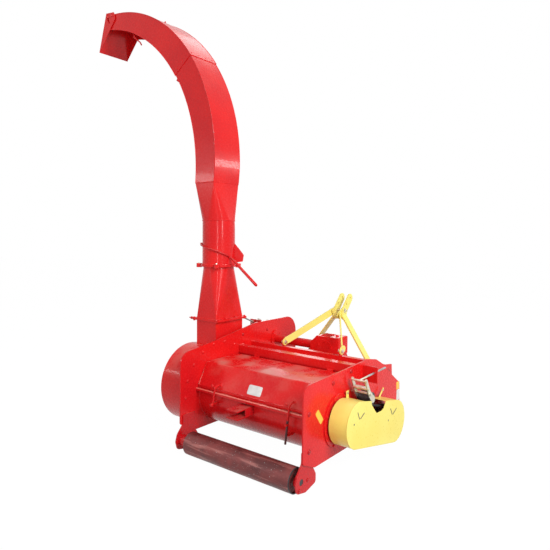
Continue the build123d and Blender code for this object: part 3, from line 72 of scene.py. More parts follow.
def addObject(name, data):
    thing = bpy.data.objects.new(name, data)
    bpy.context.scene.collection.objects.link(thing)
    return thing


def unit(vectors):
    return vectors / np.linalg.norm(vectors, axis=-1, keepdims=True)


# faces of copies of a grid: each joins a point to its neighbours along the row, which closes on itself,
# and down the column
def gridFaces(copies, rows, columns):
    row = np.arange(rows - 1)[:, None] * columns
    column = np.arange(columns)[None, :]
    after = (column + 1) % columns
    one = np.stack([row + column, row + after, row + columns + after, row + columns + column], -1)
    shift = np.arange(copies)[:, None, None] * rows * columns
    return (one.reshape(1, -1, 4) + shift).reshape(-1, 4)


# turned form on each spot: spot + height * axis + radius * (cos a * side + sin a * up), where flat
# blends the circle into a hexagon, whose radius is cos 30 / cos(angle from the flat's middle)
def turned(spots, axis, profile, sides=24):
    spots = np.atleast_2d(spots)
    axis = unit(np.broadcast_to(np.asarray(axis, float), spots.shape))
    helper = np.where(np.abs(axis[:, 2:]) > 0.9, [[1.0, 0.0, 0.0]], [[0.0, 0.0, 1.0]])
    side = unit(np.cross(helper, axis))
    up = np.cross(axis, side)
    radius, height, flat = np.array([row if len(row) == 3 else (*row, 0.0) for row in profile]).T
    angle = np.linspace(0, 2 * np.pi, sides, endpoint=False)
    hexagon = math.cos(math.pi / 6) / np.cos((angle + math.pi / 6) % (math.pi / 3) - math.pi / 6)
    reach = radius[:, None] * (1 - flat[:, None] + flat[:, None] * hexagon[None, :])
    circle = np.cos(angle)[None, :, None] * side[:, None, :] + np.sin(angle)[None, :, None] * up[:, None, :]
    return (spots[:, None, None, :] + height[None, :, None, None] * axis[:, None, None, :]
            + reach[None, :, :, None] * circle[:, None, :, :])


# profiles of turned forms: radius, height and, where it is six-sided, 1
def hexHead(size):
    # washer, six-sided head and its chamfer, as shares of the size
    shares = [(0, 0), (1.35, 0), (1.35, 0.2), (1, 0.2, 1), (1, 0.75, 1), (0.88, 0.92, 1), (0, 0.92)]
    return [(radius * size, height * size, *flat) for radius, height, *flat in shares]


def domeHead(size):
    # height = 0.55 size * cos t, radius = size * sin t
    turn = np.linspace(math.pi / 2, 0, 7)
    return [(0, 0)] + [(size * math.sin(t), 0.55 * size * math.cos(t)) for t in turn]


def flatDisc(radius, thick):
    return [(0, 0), (radius, 0), (radius, thick), (0, thick)]


# round section carried along a path: centre + radius * (cos a * side + sin a * up), where the radius
# swells by ripple * sin(2 pi * distance / pitch) and closes to nothing at both ends
def along(path, radius, ripple=0.0, pitch=0.008, sides=8, helper=(0.0, 0.0, 1.0), closed=False):
    path = np.asarray(path, float)
    ahead = unit(np.roll(path, -1, 0) - np.roll(path, 1, 0)) if closed else unit(np.gradient(path, axis=0))
    side = unit(np.cross(ahead, helper))
    up = np.cross(side, ahead)
    travel = np.concatenate([[0], np.cumsum(np.linalg.norm(np.diff(path, axis=0), axis=1))])
    size = radius * (1 + ripple * np.sin(2 * np.pi * travel / pitch))
    angle = np.linspace(0, 2 * np.pi, sides, endpoint=False)
    ring = np.cos(angle)[None, :, None] * side[:, None, :] + np.sin(angle)[None, :, None] * up[:, None, :]
    tube = path[:, None, :] + size[:, None, None] * ring
    if closed:
        return np.concatenate([tube, tube[:1]])
    ends = [np.repeat(path[end][None, None], sides, 1) for end in (0, -1)]
    return np.concatenate([ends[0], tube, ends[1]])


# points along a line: start + share * (end - start)
def straight(start, end, step=0.0027):
    start, end = np.asarray(start, float), np.asarray(end, float)
    count = max(3, int(np.linalg.norm(end - start) / step))
    return start + np.linspace(0, 1, count)[:, None] * (end - start)


# angles in degrees that share out the circle from the first
def evenly(count, first):
    return np.arange(count) * 360 / count + first


# spots round a circle: centre + radius * (cos a * across + sin a * up), a in degrees
def ringSpots(centre, radius, degrees, acrossDir, upDir):
    angle = np.radians(degrees)[:, None]
    return np.asarray(centre) + radius * (np.cos(angle) * acrossDir + np.sin(angle) * upDir)


# the same along a part of the circle, about one step apart
def arc(centre, radius, first, last, acrossDir, upDir, step=0.003):
    count = max(4, int(abs(math.radians(last - first)) * radius / step))
    return ringSpots(centre, radius, np.linspace(first, last, count), acrossDir, upDir)


# flat bar: corners of its section are +-halfWidth * across +-halfThick * out, closed to a point at both ends
def flatBar(start, end, across, halfWidth, halfThick):
    start, end, across = (np.asarray(value, float) for value in (start, end, across))
    out = unit(np.cross(unit(end - start), across))
    across = unit(np.cross(out, end - start))
    signs = np.array([(1, 1), (-1, 1), (-1, -1), (1, -1)])
    section = signs[:, :1] * halfWidth * across + signs[:, 1:] * halfThick * out
    tips = [np.repeat(tip[None], 4, 0) for tip in (start, end)]
    return np.array([tips[0], start + section, end + section, tips[1]])


# thin plate with rounded corners: centre + width * sgn(cos a)|cos a|^(1/5) * across
# + height * sgn(sin a)|sin a|^(1/5) * upward, in layers: a share of that outline at a share of the thickness
def thinPlate(centre, across, upward, halfWidth, halfHeight, thick):
    across, upward = unit(np.array(across, float)), unit(np.array(upward, float))
    angle = np.linspace(0, 2 * np.pi, 48, endpoint=False)
    x = halfWidth * np.sign(np.cos(angle)) * np.abs(np.cos(angle)) ** 0.2
    y = halfHeight * np.sign(np.sin(angle)) * np.abs(np.sin(angle)) ** 0.2
    rim = x[:, None] * across + y[:, None] * upward
    out = np.cross(across, upward)
    layers = [(0, 0), (1, 0), (1, 0.7), (0.97, 1), (0, 1)]
    return np.array([np.asarray(centre) + share * rim + tall * thick * out for share, tall in layers])


# building blocks of materials: a link joins an output to an input of the same tree
def link(output, target):
    output.id_data.links.new(output, target)


def startMaterial(name):
    material = bpy.data.materials.new(name)
    material.use_nodes = True
    tree = material.node_tree
    tree.nodes.clear()
    output = tree.nodes.new("ShaderNodeOutputMaterial")
    shader = tree.nodes.new("ShaderNodeBsdfPrincipled")
    link(shader.outputs[0], output.inputs[0])
    coords = tree.nodes.new("ShaderNodeTexCoord").outputs["Object"]
    return material, tree, shader, coords


def noise(tree, coords, scale, detail, stretch=None):
    if stretch:
        mapping = tree.nodes.new("ShaderNodeMapping")
        mapping.inputs["Scale"].default_value = stretch
        link(coords, mapping.inputs["Vector"])
        coords = mapping.outputs[0]
    node = tree.nodes.new("ShaderNodeTexNoise")
    node.inputs["Scale"].default_value = scale
    node.inputs["Detail"].default_value = detail
    link(coords, node.inputs["Vector"])
    return node.outputs["Fac"]


def spread(tree, value, fromLow, fromHigh, toLow=0.0, toHigh=1.0):
    node = tree.nodes.new("ShaderNodeMapRange")
    for socket, number in zip(node.inputs[1:5], (fromLow, fromHigh, toLow, toHigh)):
        socket.default_value = number
    link(value, node.inputs[0])
    return node.outputs[0]


# noise of one scale and detail, spread from 0 to 1 between two of its levels
def patchy(tree, coords, scale, detail, fromLow, fromHigh, stretch=None):
    return spread(tree, noise(tree, coords, scale, detail, stretch), fromLow, fromHigh)


def calc(tree, operation, first, second):
    node = tree.nodes.new("ShaderNodeMath")
    node.operation = operation
    for socket, value in zip(node.inputs, (first, second)):
        if isinstance(value, (int, float)):
            socket.default_value = value
        else:
            link(value, socket)
    return node.outputs[0]


def blendColour(tree, share, first, second):
    node = tree.nodes.new("ShaderNodeMix")
    node.data_type = "RGBA"
    link(share, node.inputs[0])
    for socket, value in zip((node.inputs[6], node.inputs[7]), (first, second)):
        if isinstance(value, tuple):
            socket.default_value = (*value, 1.0)
        else:
            link(value, socket)
    return node.outputs[2]


def bump(tree, shader, height, strength, distance):
    node = tree.nodes.new("ShaderNodeBump")
    node.inputs["Strength"].default_value = strength
    node.inputs["Distance"].default_value = distance
    link(height, node.inputs["Height"])
    previous = shader.inputs["Normal"].links
    if previous:
        link(previous[0].from_socket, node.inputs["Normal"])
    link(node.outputs[0], shader.inputs["Normal"])


def facing(tree):
    # how far a face looks up, from 0 to 1
    normal = tree.nodes.new("ShaderNodeNewGeometry").outputs["Normal"]
    parts = tree.nodes.new("ShaderNodeSeparateXYZ")
    link(normal, parts.inputs[0])
    return spread(tree, parts.outputs["Z"], 0.3, 1.0)


# every grain is spread between these levels of its noise
grainLevels = (0.3, 0.7)

paintLook = {
    # colour and deeper tone of each paint
    "red": ((0.74, 0.012, 0.011), (0.60, 0.008, 0.011)),
    "wornRed": ((0.60, 0.008, 0.011), (0.50, 0.008, 0.012)),
    # darker red for bolt heads: painted shade round their domes
    "shadedHeadRed": ((0.50, 0.008, 0.010), (0.40, 0.006, 0.010)),
    # pale pink: a painted highlight for the rounded edges of the lid and the sill
    "paintedHighlightRed": ((0.86, 0.24, 0.19), (0.82, 0.18, 0.14)),
    "yellow": ((0.86, 0.77, 0.20), (0.82, 0.68, 0.13)),
    "dustColour": (0.55, 0.42, 0.33), "chipColour": (0.10, 0.06, 0.05),
    # scale and detail of each noise, and the two levels it is spread between
    "drift": (2.2, 2.0, 0.35, 0.68), "dust": (7.0, 5.0, 0.45, 0.8),
    "chip": (95.0, 5.0), "chipLevels": (0.72, 0.735), "grain": (60.0, 4.0),
    # roughness below and above the gloss, and what dust adds
    "smoother": 0.05, "rougher": 0.07, "dustRough": 0.6,
    "gloss": 0.25, "coat": 0.14, "coatRough": 0.06, "specular": 0.16,
    # the sheet's waves and the sprayed skin
    "waves": (5.5, 2.0), "waveDepth": 0.012, "skin": (330.0, 2.0), "skinBump": (0.015, 0.001),
}


# sprayed paint: the tone drifts over the sheet, dust lies on what looks up, and small chips show the steel
def paintMaterial(name, tones, dusty=0.25, chipped=0.0, gloss=paintLook["gloss"], wavy=0.15):
    material, tree, shader, coords = startMaterial(name)
    base = blendColour(tree, patchy(tree, coords, *paintLook["drift"]), *paintLook[tones])
    dust = calc(tree, "MULTIPLY", facing(tree), patchy(tree, coords, *paintLook["dust"]))
    dust = calc(tree, "MULTIPLY", dust, dusty)
    base = blendColour(tree, dust, base, paintLook["dustColour"])
    if chipped:
        levels = (level - chipped for level in paintLook["chipLevels"])
        chips = patchy(tree, coords, *paintLook["chip"], *levels)
        base = blendColour(tree, chips, base, paintLook["chipColour"])
    link(base, shader.inputs["Base Color"])
    grain = noise(tree, coords, *paintLook["grain"])
    smooth, coarse = gloss - paintLook["smoother"], gloss + paintLook["rougher"]
    rough = spread(tree, grain, *grainLevels, smooth, coarse)
    rough = calc(tree, "ADD", rough, calc(tree, "MULTIPLY", dust, paintLook["dustRough"]))
    link(rough, shader.inputs["Roughness"])
    shader.inputs["Specular IOR Level"].default_value = paintLook["specular"]
    shader.inputs["Coat Weight"].default_value = paintLook["coat"]
    shader.inputs["Coat Roughness"].default_value = paintLook["coatRough"]
    bump(tree, shader, noise(tree, coords, *paintLook["waves"]), wavy, paintLook["waveDepth"])
    bump(tree, shader, noise(tree, coords, *paintLook["skin"]), *paintLook["skinBump"])
    return material


rustLook = {
    "rust": (0.22, 0.045, 0.042), "dark": (0.10, 0.022, 0.022), "light": (0.42, 0.15, 0.13),
    # end: near black, painted shade inside the roller's open end, over its last few centimetres
    "worn": (0.42, 0.38, 0.36), "end": (0.045, 0.043, 0.045), "rollerEndShade": 0.043,
    # scale, detail and both levels of each noise
    "patches": (9.0, 6.0, 0.36, 0.66), "scratches": (14.0, 6.0, 0.56, 0.70),
    "specks": (120.0, 3.0, 0.66, 0.72),
    "rough": (0.38, 0.62), "patchBump": (0.12, 0.002), "pits": (220.0, 4.0), "pitBump": (0.18, 0.0015),
}


# rolled or worn steel: rust in patches, scratches drawn round the piece, bright where crop has polished it,
# and near black past a given x as painted shade inside the roller's open end
def rustMaterial(name, bright, metallic, scratchStretch, shadedEndX=None):
    material, tree, shader, coords = startMaterial(name)
    patches = patchy(tree, coords, *rustLook["patches"])
    base = blendColour(tree, patches, rustLook["dark"], rustLook["rust"])
    scratches = patchy(tree, coords, *rustLook["scratches"], scratchStretch)
    base = blendColour(tree, calc(tree, "MULTIPLY", scratches, bright), base, rustLook["light"])
    specks = patchy(tree, coords, *rustLook["specks"])
    base = blendColour(tree, calc(tree, "MULTIPLY", specks, bright), base, rustLook["worn"])
    # past this x the colour goes near black: painted shade inside the open tube end
    if shadedEndX is not None:
        parts = tree.nodes.new("ShaderNodeSeparateXYZ")
        link(coords, parts.inputs[0])
        ends = calc(tree, "GREATER_THAN", parts.outputs["X"], shadedEndX)
        base = blendColour(tree, ends, base, rustLook["end"])
    link(base, shader.inputs["Base Color"])
    shader.inputs["Metallic"].default_value = metallic
    link(spread(tree, patches, 0.0, 1.0, *rustLook["rough"]), shader.inputs["Roughness"])
    bump(tree, shader, patches, *rustLook["patchBump"])
    bump(tree, shader, noise(tree, coords, *rustLook["pits"]), *rustLook["pitBump"])
    return material


metalLook = {
    # the two tones of each metal
    "zinc": ((0.60, 0.55, 0.40), (0.72, 0.70, 0.62)), "bare": ((0.50, 0.50, 0.51), (0.36, 0.34, 0.33)),
    # near black red-brown for the sleeve over one latch lever
    "darkSleeve": ((0.07, 0.012, 0.012), (0.11, 0.02, 0.02)),
    "cast": ((0.045, 0.043, 0.045), (0.09, 0.075, 0.07)),
    "cloud": (24.0, 4.0, 0.35, 0.65), "grainDetail": 3.0, "grainHeight": 0.001,
}


# plain metal with a brushed or cast grain
def metalMaterial(name, tones, metallic, rough, scale, depth):
    material, tree, shader, coords = startMaterial(name)
    cloud = patchy(tree, coords, *metalLook["cloud"])
    link(blendColour(tree, cloud, *metalLook[tones]), shader.inputs["Base Color"])
    shader.inputs["Metallic"].default_value = metallic
    grain = noise(tree, coords, scale, metalLook["grainDetail"])
    link(spread(tree, grain, *grainLevels, *rough), shader.inputs["Roughness"])
    bump(tree, shader, grain, depth, metalLook["grainHeight"])
    return material


softLook = {
    # colour and scuffed tone of each rubber, plastic (also the painted shade inside slots and holes) and
    # blank sticker
    "rubber": ((0.012, 0.012, 0.013), (0.05, 0.047, 0.045)),
    "plasticAndShade": ((0.018, 0.018, 0.02), (0.05, 0.05, 0.05)),
    "white": ((0.72, 0.71, 0.69), (0.60, 0.58, 0.56)), "yellow": ((0.90, 0.52, 0.06), (0.85, 0.62, 0.18)),
    "wear": (18.0, 5.0, 0.5, 0.75), "grainDetail": 3.0, "roughSwing": 0.08,
    "grainBump": (0.15, 0.001),
}


# rubber and plastic: nearly even colour, scuffed paler where the grain stands up
def softMaterial(name, tones, rough, scale):
    material, tree, shader, coords = startMaterial(name)
    wear = patchy(tree, coords, *softLook["wear"])
    link(blendColour(tree, wear, *softLook[tones]), shader.inputs["Base Color"])
    grain = noise(tree, coords, scale, softLook["grainDetail"])
    swing = softLook["roughSwing"]
    roughness = spread(tree, grain, *grainLevels, rough - swing, rough + swing)
    link(roughness, shader.inputs["Roughness"])
    bump(tree, shader, grain, *softLook["grainBump"])
    return material


redPaint = paintMaterial("redPaint", "red")
redDusty = paintMaterial("redDusty", "red", dusty=0.55, wavy=0.25)
redWorn = paintMaterial("redWorn", "wornRed", dusty=0.4, chipped=0.06)
redShadedHead = paintMaterial("redShadedHead", "shadedHeadRed", dusty=0.1, gloss=0.18)
# pale pink red: painted highlight along rounded edges
redPaintedHighlight = paintMaterial("redPaintedHighlight", "paintedHighlightRed", dusty=0.1, gloss=0.15)
yellowPaint = paintMaterial("yellowPaint", "yellow", dusty=0.1, gloss=0.3)
rollerRust = rustMaterial("rollerRust", bright=0.75, metallic=0.35, scratchStretch=(0.25, 3.0, 3.0),
                          shadedEndX=high("land_roller")[0] + origin[0] - rustLook["rollerEndShade"])
bladeSteel = rustMaterial("bladeSteel", bright=1.0, metallic=0.7, scratchStretch=(4.0, 1.0, 1.0))
zincPlate = metalMaterial("zincPlate", "zinc", metallic=0.85, rough=(0.28, 0.45), scale=160.0, depth=0.08)
bareSteel = metalMaterial("bareSteel", "bare", metallic=0.9, rough=(0.25, 0.4), scale=200.0, depth=0.06)
darkSleeveMetal = metalMaterial("darkSleeveMetal", "darkSleeve", metallic=0.2, rough=(0.3, 0.45), scale=160.0, depth=0.08)
castIron = metalMaterial("castIron", "cast", metallic=0.5, rough=(0.5, 0.7), scale=140.0, depth=0.3)
beltRubber = softMaterial("beltRubber", "rubber", rough=0.75, scale=260.0)
blackPlasticAndShade = softMaterial("blackPlasticAndShade", "plasticAndShade", rough=0.45, scale=180.0)
blankWhite = softMaterial("blankWhite", "white", rough=0.35, scale=90.0)
blankYellow = softMaterial("blankYellow", "yellow", rough=0.4, scale=90.0)
print("materials made")

nodeLooks = {
    redDusty: "auger_trough trough_apron lid_sill rotor_hood deck rear_beam front_beam hitch_beam hood_lid "
              "fan_drum",
    redWorn: "roller_brackets drawbar_socket lid_latches latch_catches left_stand right_stand turning_rod",
    yellowPaint: "right_belt_guard left_belt_guard mast_straps mast_braces",
    rollerRust: "land_roller",
    bladeSteel: "auger_tube auger_flight fan_rotor flail_rotor flails",
    zincPlate: "tensioner_arms tensioner_rods mast_bolts flap_bolts pivot_pins guard_posts",
    bareSteel: "input_shaft cross_shaft",
    castIron: "shaft_bearings rotor_pulleys auger_pulley cross_pulley",
    beltRubber: "drive_belts",
    blackPlasticAndShade: "belt_idlers",
}
# every other node is plain red
lookOf = {name: look for look, names in nodeLooks.items() for name in names.split()}
for name, node in nodes.items():
    node.data.materials.clear()
    node.data.materials.append(lookOf.get(name, redPaint))
print("node looks set")

# distances in metres, and the angle in degrees above which an edge stays sharp
meshing = {"merge": 2e-6, "shortest": 1e-6, "sharp": 35}


# one mesh from closed grids, each of copies x rows x columns points, with its doubles merged
def makePiece(name, grids, body="frame", material=redPaint):
    points, faces, start = [], [], 0
    for grid in grids:
        grid = np.asarray(grid, float)
        grid = grid.reshape((-1,) + grid.shape[-3:])
        faces.append(gridFaces(*grid.shape[:3]) + start)
        points.append(grid.reshape(-1, 3))
        start += grid.shape[0] * grid.shape[1] * grid.shape[2]
    mesh = bpy.data.meshes.new(name)
    mesh.from_pydata(np.concatenate(points) + origin, [], np.concatenate(faces))
    work = bmesh.new()
    work.from_mesh(mesh)
    bmesh.ops.remove_doubles(work, verts=work.verts, dist=meshing["merge"])
    bmesh.ops.dissolve_degenerate(work, edges=work.edges, dist=meshing["shortest"])
    bmesh.ops.recalc_face_normals(work, faces=work.faces)
    for edge in work.edges:
        edge.smooth = edge.calc_face_angle(0.0) < math.radians(meshing["sharp"])
    for face in work.faces:
        face.smooth = True
    work.to_mesh(mesh)
    work.free()
    mesh.materials.append(material)
    piece = addObject(name, mesh)
    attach(piece, body)
    return piece


drumBolts = {
    "inset": 0.016, "angles": evenly(18, 101.0), "head": 0.0125, "nut": 0.0085, "flange": 0.006,
    "aboveEdge": 0.03, "besideBox": 0.17, "underBox": 0.6,
}


# centre and radius of the drum's rim, at one x
def drumCircle(x):
    drumLow, drumHigh = corners("fan_drum")
    radius = (drumHigh[1] - drumLow[1]) / 2
    return (x, (drumHigh[1] + drumLow[1]) / 2, drumHigh[2] - radius), radius


def addDrumBolts():
    # heads inside the side plate, and nuts outside it where the outlet box leaves room
    plateLow, plateHigh = corners("left_side_plate")
    centre, radius = drumCircle(plateHigh[0])
    heads = ringSpots(centre, radius - drumBolts["inset"], drumBolts["angles"], yAxis, zAxis)
    heads = heads[heads[:, 2] > plateLow[2] + drumBolts["aboveEdge"]]
    nuts = heads * [0, 1, 1] + [plateLow[0] - drumBolts["flange"], 0, 0]
    boxMiddle = (low("outlet_box")[1] + high("outlet_box")[1]) / 2
    clear = (np.abs(nuts[:, 1] - boxMiddle) > drumBolts["besideBox"]) | (nuts[:, 2] < drumBolts["underBox"])
    makePiece("drum_bolt_heads", [turned(heads, xAxis, domeHead(drumBolts["head"]))])
    makePiece("drum_bolt_nuts", [turned(nuts[clear], -xAxis, hexHead(drumBolts["nut"]))])


addDrumBolts()

plateBolts = {
    "rightOuter": [(0.060, 0.478), (0.064, 0.247), (0.330, 0.610), (0.560, 0.642)],
    "bracket": [(0.064, 0.070), (-0.023, 0.036)],
    "leftOuter": [(1.30, 0.200), (1.30, 0.420), (1.20, 0.770), (0.86, 0.770)],
    "leftInner": [(0.663, 0.747), (0.976, 0.745), (1.300, 0.600)],
    "head": 0.010, "roundHead": 0.016, "smallHead": 0.0125, "plate": 0.010,
}


def addPlateBolts():
    right, left = high("right_side_plate")[0], low("left_side_plate")[0]
    rightSpots = [(right, y, z) for y, z in plateBolts["rightOuter"]]
    leftSpots = [(left, y, z) for y, z in plateBolts["leftOuter"]]
    innerSpots = [(left + plateBolts["plate"], y, z) for y, z in plateBolts["leftInner"]]
    bracketX = right - plateBolts["plate"]
    bracketSpots = np.array([(side * bracketX, y, z) for side in (1, -1) for y, z in plateBolts["bracket"]])
    bracketWays = np.sign(bracketSpots[:, :1]) * xAxis
    smallHead = domeHead(plateBolts["smallHead"])
    grids = [turned(rightSpots, xAxis, domeHead(plateBolts["roundHead"])),
             turned(innerSpots, xAxis, smallHead),
             turned(bracketSpots, bracketWays, smallHead),
             turned(leftSpots, -xAxis, hexHead(plateBolts["head"]))]
    # the heads are a darker red than the plates: painted shade round each dome
    makePiece("side_plate_bolts", grids, "frame", redShadedHead)


addPlateBolts()

bearingBolts = {
    "plate": 0.010, "head": 0.0075, "rotorCircle": 0.062, "crossCircle": 0.052,
    "ringPlate": 0.008, "angles": evenly(4, 45), "ringInset": 0.014, "ringAngles": evenly(8, 22.5),
}


def addBearingBolts():
    # four heads at the corners of each flange, eight round the auger's bearing plate
    rotor, cross, auger = (jointAt[key] for key in ("rotor_spin", "cross_shaft_spin", "auger_spin"))
    plateX = high("right_side_plate")[0]
    spots = []
    rotorCircle, crossCircle = bearingBolts["rotorCircle"], bearingBolts["crossCircle"]
    for side, shaft, circle in ((1, rotor, rotorCircle), (-1, rotor, rotorCircle), (-1, cross, crossCircle)):
        centre = (side * (plateX + bearingBolts["plate"]), shaft[1], shaft[2])
        spots.append(ringSpots(centre, circle, bearingBolts["angles"], yAxis, zAxis))
    spots = np.concatenate(spots)
    reach = (high("auger_bearing_plate")[1] - low("auger_bearing_plate")[1]) / 2 - bearingBolts["ringInset"]
    centre = (plateX + bearingBolts["ringPlate"], auger[1], auger[2])
    ring = ringSpots(centre, reach, bearingBolts["ringAngles"], yAxis, zAxis)
    profile = hexHead(bearingBolts["head"])
    grids = [turned(spots, np.sign(spots[:, :1]) * xAxis, profile), turned(ring, xAxis, profile)]
    makePiece("bearing_bolts", grids)


addBearingBolts()

flangeBolts = {"inset": 0.013, "head": 0.0085, "alongY": 4, "thick": 0.008}


def addFlangeBolts():
    # heads round the flange between the outlet box and the neck, and nuts below it
    boxLow, boxHigh = corners("outlet_box")
    inset = flangeBolts["inset"]
    plateX = low("left_side_plate")[0] - drumBolts["flange"]
    xs = (boxLow[0] + inset, min(boxHigh[0], plateX) - inset)
    ys = np.linspace(boxLow[1] + inset / 2, boxHigh[1] - inset / 2, flangeBolts["alongY"])
    top = boxHigh[2] + flangeBolts["thick"]
    heads = np.array([(x, y, top) for x in xs for y in ys])
    nuts = heads - [0, 0, 2 * flangeBolts["thick"]]
    profile = hexHead(flangeBolts["head"])
    makePiece("neck_flange_bolts", [turned(heads, zAxis, profile), turned(nuts, -zAxis, profile)])


addFlangeBolts()

clampBolts = {"head": 0.0075, "out": 0.163, "angles": evenly(4, 38)}


def addClampBolts():
    swivel = jointAt["spout_swivel"]
    centre = (swivel[0], swivel[1], high("ring_clamps")[2])
    spots = ringSpots(centre, clampBolts["out"], clampBolts["angles"], xAxis, yAxis)
    makePiece("clamp_bolts", [turned(spots, zAxis, hexHead(clampBolts["head"]))], "frame", zincPlate)


addClampBolts()

boltEnds = {
    # place of the face, way out and size of each nut or head on the frame's long bolts
    "frame": [((0.011, 1.203, 0.945), -1, 0.0135), ((0.109, 1.203, 0.945), 1, 0.0135),
              ((-0.205, 0.784, 0.711), -1, 0.0125), ((-0.185, 0.784, 0.711), 1, 0.0125),
              ((0.315, 0.784, 0.711), -1, 0.0125), ((0.335, 0.784, 0.711), 1, 0.0125),
              ((0.676, 0.574, 0.508), 1, 0.013), ((-0.676, 0.985, 0.716), -1, 0.013)],
    "flapHead": 0.0125, "flapReach": 0.0134, "lock": 0.068,
    "flangeX": -0.516, "flangeCircle": 0.060, "flangeAngles": evenly(4, 45), "flangeHead": 0.0065,
}


def addBoltEnds():
    spots = np.array([row[0] for row in boltEnds["frame"]])
    ways = np.array([row[1] * xAxis for row in boltEnds["frame"]])
    sizes = np.array([row[2] for row in boltEnds["frame"]])
    grids = [turned(spots[sizes == size], ways[sizes == size], hexHead(size)) for size in np.unique(sizes)]
    makePiece("frame_bolt_nuts", grids, "frame", zincPlate)
    # four heads on the cross tube's flange
    cross = jointAt["cross_shaft_spin"]
    centre = (boltEnds["flangeX"], cross[1], cross[2])
    heads = ringSpots(centre, boltEnds["flangeCircle"], boltEnds["flangeAngles"], yAxis, zAxis)
    makePiece("cross_flange_bolts", [turned(heads, xAxis, hexHead(boltEnds["flangeHead"]))])
    # heads at both sides of the flap's pivot and of its locking bolt
    pivot = jointAt["flap_tilt"]
    reach, profile = boltEnds["flapReach"], domeHead(boltEnds["flapHead"])
    xs = (pivot[0], pivot[0] - boltEnds["lock"])
    sides = ((low("upper_duct")[1] - reach, -yAxis), (high("upper_duct")[1] + reach, yAxis))
    grids = [turned([(x, y, pivot[2]) for x in xs], way, profile) for y, way in sides]
    makePiece("flap_bolt_heads", grids, "spout")


addBoltEnds()

tensionTrim = {
    # start and end of the threaded part of each rod, and the ends of the arms' cross rods
    "threads": [((0.622, 0.640, 0.60476), (0.622, 0.9045, 0.61298)),
                ((-0.622, 0.960, 0.78558), (-0.622, 0.7405, 0.87879))],
    "radius": 0.00645, "ripple": 0.05, "pitch": 0.0035, "step": 0.0008,
    "rodEnds": [(0.690, 0.519, 0.601), (0.690, 0.546, 0.548), (-0.690, 1.032, 0.755)], "inward": 0.014,
    "washer": [(0, 0), (0.012, 0), (0.012, 0.002), (0.008, 0.002), (0.008, 0.006), (0, 0.006)],
}


def addTensionTrim():
    grids = [along(straight(start, end, tensionTrim["step"]), tensionTrim["radius"], tensionTrim["ripple"],
                   tensionTrim["pitch"], sides=12) for start, end in tensionTrim["threads"]]
    makePiece("rod_threads", grids, "frame", bareSteel)
    spots = np.array(tensionTrim["rodEnds"])
    outward = np.sign(spots[:, :1]) * xAxis
    washers = turned(spots - tensionTrim["inward"] * outward, outward, tensionTrim["washer"])
    makePiece("arm_washers", [washers], "frame", zincPlate)


addTensionTrim()

nipples = {
    "profile": [(0, 0), (0.0038, 0, 1), (0.0038, 0.004, 1), (0.0022, 0.005), (0.0022, 0.008), (0.003, 0.0095),
                (0.0018, 0.011), (0, 0.011)],
    # how far each stands outside its side plate or inside the drum's end, and above its shaft
    "plateOut": 0.018, "augerOut": 0.022, "drumIn": 0.011,
    "rotorUp": 0.0495, "crossUp": 0.0435, "augerUp": 0.0545, "drumUp": 0.0615,
}


def addNipples():
    # grease nipples on top of the three bearings' hubs and of both the auger's hubs
    rotor, cross, auger = (jointAt[key] for key in ("rotor_spin", "cross_shaft_spin", "auger_spin"))
    right, left = high("right_side_plate")[0], low("left_side_plate")[0]
    spots = [(right + nipples["plateOut"], rotor[1], rotor[2] + nipples["rotorUp"]),
             (left - nipples["plateOut"], rotor[1], rotor[2] + nipples["rotorUp"]),
             (left - nipples["plateOut"], cross[1], cross[2] + nipples["crossUp"]),
             (right + nipples["augerOut"], auger[1], auger[2] + nipples["augerUp"]),
             (low("fan_drum")[0] + nipples["drumIn"], auger[1], auger[2] + nipples["drumUp"])]
    makePiece("grease_nipples", [turned(spots, zAxis, nipples["profile"], sides=12)], "frame", zincPlate)


addNipples()

gearboxTrim = {
    "coverAngles": evenly(6, 30), "coverCircle": 0.060, "head": 0.0065, "aboveFoot": 0.018,
    "plug": 0.012, "plugIn": 0.06, "ribs": 5, "rib": 0.0035, "ribRear": 0.03, "ribFront": 0.05, "ribIn": 0.09,
    "ribStep": 0.02,
}


def addGearboxTrim():
    boxLow, boxHigh = corners("gearbox")
    shaft = jointAt["input_spin"]
    centre = (shaft[0], boxLow[1], shaft[2])
    cover = ringSpots(centre, gearboxTrim["coverCircle"], gearboxTrim["coverAngles"], xAxis, zAxis)
    cover = cover[cover[:, 2] > boxLow[2] + gearboxTrim["aboveFoot"]]
    plug = (boxHigh[0] - gearboxTrim["plugIn"], (boxLow[1] + boxHigh[1]) / 2, boxHigh[2])
    grids = [turned(cover, -yAxis, hexHead(gearboxTrim["head"])),
             turned(plug, zAxis, hexHead(gearboxTrim["plug"]))]
    # cooling ribs along the top of the case
    left, right = boxLow[0] + gearboxTrim["ribIn"], boxHigh[0] - gearboxTrim["ribIn"]
    rear, front = boxLow[1] + gearboxTrim["ribRear"], boxHigh[1] - gearboxTrim["ribFront"]
    for y in np.linspace(rear, front, gearboxTrim["ribs"]):
        path = straight((left, y, boxHigh[2]), (right, y, boxHigh[2]), gearboxTrim["ribStep"])
        grids.append(along(path, gearboxTrim["rib"], helper=yAxis))
    makePiece("gearbox_trim", grids)


addGearboxTrim()
print("bolts done")

weldLook = {"radius": 0.0035, "ripple": 0.16, "pitch": 0.009, "loopEnd": 357}


def weld(path, helper=(0.0, 0.0, 1.0), closed=False, size=1.0):
    return along(path, weldLook["radius"] * size, weldLook["ripple"], weldLook["pitch"], helper=helper,
                 closed=closed)


# weld round an upright pipe: it stops just short of its start, and along() closes it
def ringWeld(centre, radius, size=1.0):
    return weld(arc(centre, radius, 0, weldLook["loopEnd"], xAxis, yAxis), closed=True, size=size)


# four welds round a rectangle at one height
def boxWelds(lowX, highX, lowY, highY, z):
    spots = [(lowX, lowY, z), (highX, lowY, z), (highX, highY, z), (lowX, highY, z), (lowX, lowY, z)]
    return [weld(straight(start, end)) for start, end in zip(spots[:-1], spots[1:])]


spoutWelds = {"tube": 0.132, "ductFoot": (-0.122, 0.0816), "seamUp": 0.009, "seamSize": 1.3}


